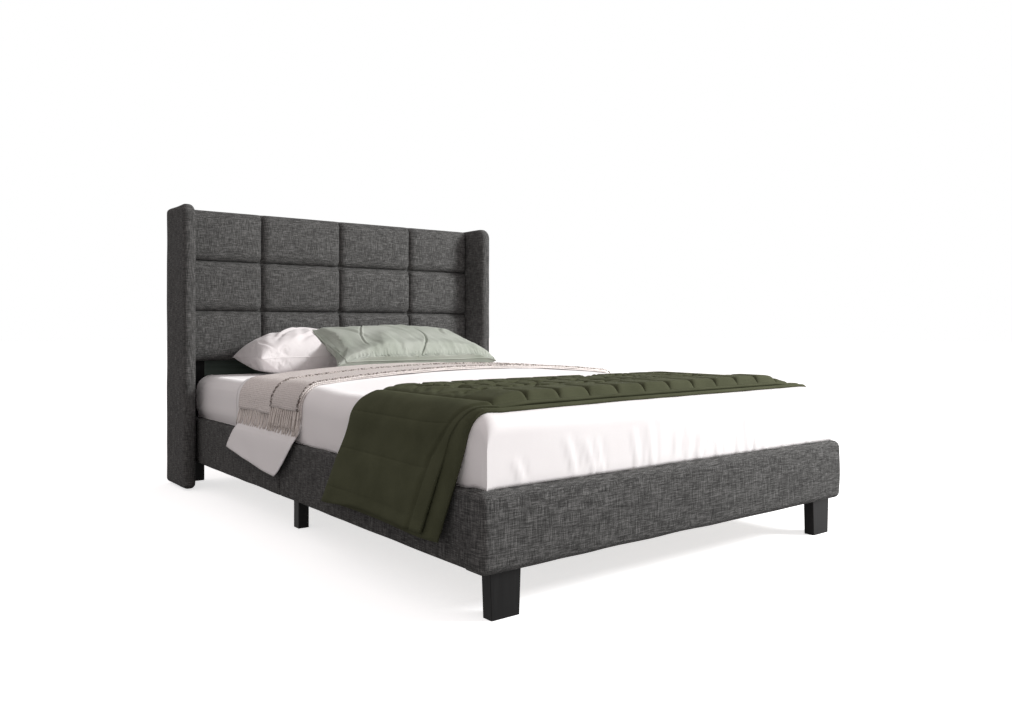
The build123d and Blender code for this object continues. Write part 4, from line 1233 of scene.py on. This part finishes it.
for vert in bm.verts:
    if vert.normal.z > -0.1:
        bow = flap_edge - flap_bow * ((vert.co.y / accent_half.y - 0.1) / 1.1) ** 2
        away = vert.co.x - bow
        vert.co.z += flap_height / (1 + exp(away / 0.0012)) * exp(min(away, 0) / 0.06)
        vert.co.z -= flap_groove * exp(-((away - 0.003) / 0.005) ** 2)
for number in range(gathers):
    x = -0.3 + 0.64 * number / (gathers - 1)
    reach = 0.03 + 0.03 * abs(drift(number * 2.3, 1, 1))
    lean = 0.012 * drift(number * 1.1, 5, 1)
    seam_y = -accent_half.y + gather_inset
    crease(bm, (x, seam_y), (x + lean, seam_y + reach), 0.0035, 0.004)
for vert in bm.verts:
    if vert.normal.z > 0:
        lower = eased(-vert.co.y, -0.1, 0.16)
        upright = drift(vert.co.x * 42 + 2 * vert.co.y, vert.co.y * 7, 3)
        broad = drift(vert.co.x * 22, vert.co.y * 16, 8)
        vert.co.z += (0.005 * upright * lower + 0.003 * broad) * (1 - (vert.co.x / accent_half.x) ** 4)
for start, end, width, depth, bend in (
    ((-0.12, 0.17), (-0.24, -0.12), 0.0045, 0.005, -0.03),
    ((-0.33, 0.16), (-0.2, -0.02), 0.01, 0.006, 0.02),
    ((-0.1, 0.15), (0.0, 0.0), 0.012, 0.004, 0.01),
    ((0.3, 0.14), (0.2, -0.02), 0.012, 0.005, -0.02),
    ((0.34, -0.1), (0.22, -0.02), 0.01, 0.004, 0.01),
):
    crease(bm, start, end, width, depth, bend)
for vert in bm.verts:
    towards_end = max(0, abs(vert.co.x) / accent_half.x - 0.7) / 0.3
    towards_front = max(0, -vert.co.y / accent_half.y - 0.4) / 0.6
    on_seam = 1 - min(1, max(0, -vert.co.z) / 0.03)
    lifted = front_lift * (1 - towards_end) * on_seam - front_corner_drop * towards_end
    vert.co.z += lifted * towards_front
    vert.co.x -= front_corner_reach * towards_end * towards_front * (vert.co.x < 0)
    vert.co.x *= 1 - accent_taper * vert.co.y / accent_half.y
    towards_back = max(0, vert.co.y / accent_half.y - 0.3) / 0.7
    vert.co.z += back_corner_rise * towards_end * towards_back * (vert.co.x < 0)
cord = edge_cord(bm, -accent_half, accent_half, 0, 0.0024, 0.001)
for shape in (bm, cord):
    bmesh.ops.transform(shape, matrix=accent_tilt, verts=shape.verts)
accent = add_piece("sage_pillow", bm, sage, "accent_pillow")
piping = add_piece("sage_piping", cord, sage, "accent_pillow")
for piece in (accent, piping):
    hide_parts("accent_pillow")

# The studio: a plain white floor that keeps the bed's shadow, a large soft lamp from the front right and
# even light all round. The camera stands low at the foot end's left.


def seen_by(material, *kinds):
    """1 for the camera's rays and the other kinds named, 0 for the rest."""
    rays = add_node(material, "LightPath")
    seen = rays.outputs["Is Camera Ray"]
    for kind in kinds:
        seen = combine(material, "MAXIMUM", seen, rays.outputs[f"Is {kind} Ray"])
    return seen


floor_mesh = bmesh.new()
bmesh.ops.create_grid(floor_mesh, x_segments=1, y_segments=1, size=40)
floor_data = bpy.data.meshes.new("studio_floor")
floor_mesh.to_mesh(floor_data)
floor_mesh.free()
studio_floor = link_object("studio_floor", floor_data)
paper = bpy.data.materials.new("white_paper")
paper.use_nodes = True
paper.node_tree.nodes.clear()
seen = seen_by(paper, "Glossy", "Transmission")
dull = add_node(paper, "BsdfDiffuse", {"Color": (0.35, 0.35, 0.35, 1)})
soft = add_node(paper, "BsdfDiffuse", {"Color": (0.88, 0.88, 0.88, 1)})
glow = add_node(paper, "Emission", {"Color": (1, 1, 1, 1), "Strength": 0.675})
lifted = add_node(paper, "AddShader", {0: soft.outputs[0], 1: glow.outputs[0]})
shown = add_node(paper, "MixShader", {0: seen, 1: dull.outputs[0], 2: lifted.outputs[0]})
add_node(paper, "OutputMaterial", {"Surface": shown.outputs[0]})
floor_data.materials.append(paper)

world = bpy.data.worlds.new("studio")
bpy.context.scene.world = world
world.use_nodes = True
world.node_tree.nodes.clear()
seen = seen_by(world, "Glossy")
around = add_node(world, "Background", {"Color": (1, 0.925, 0.92, 1), "Strength": 0.56})
behind = add_node(world, "Background", {"Color": (1, 1, 1, 1), "Strength": 1})
mixed = add_node(world, "MixShader", {0: seen, 1: around.outputs[0], 2: behind.outputs[0]})
add_node(world, "OutputWorld", {"Surface": mixed.outputs[0]})

key = bpy.data.lights.new("key", "AREA")
key.shape = "DISK"
key.size = 1.7
key.energy = 322
key_lamp = link_object("key", key)
key_from = Vector((3.6, -3.4, 2.9))
key_lamp.location = key_from
key_lamp.rotation_euler = (key_from - Vector((0, 0, 0.4))).to_track_quat("Z", "Y").to_euler()

camera_data = bpy.data.cameras.new("camera")
camera_data.lens = 29.06
camera_data.shift_x = 0.0635
camera_data.shift_y = -0.0357
camera = link_object("camera", camera_data)
camera.location = (-1.8327, -2.43235, 0.6526)
camera.rotation_euler = (pi / 2, 0, -radians(35.4304))
bpy.context.scene.camera = camera
bpy.context.scene.view_settings.view_transform = "Standard"
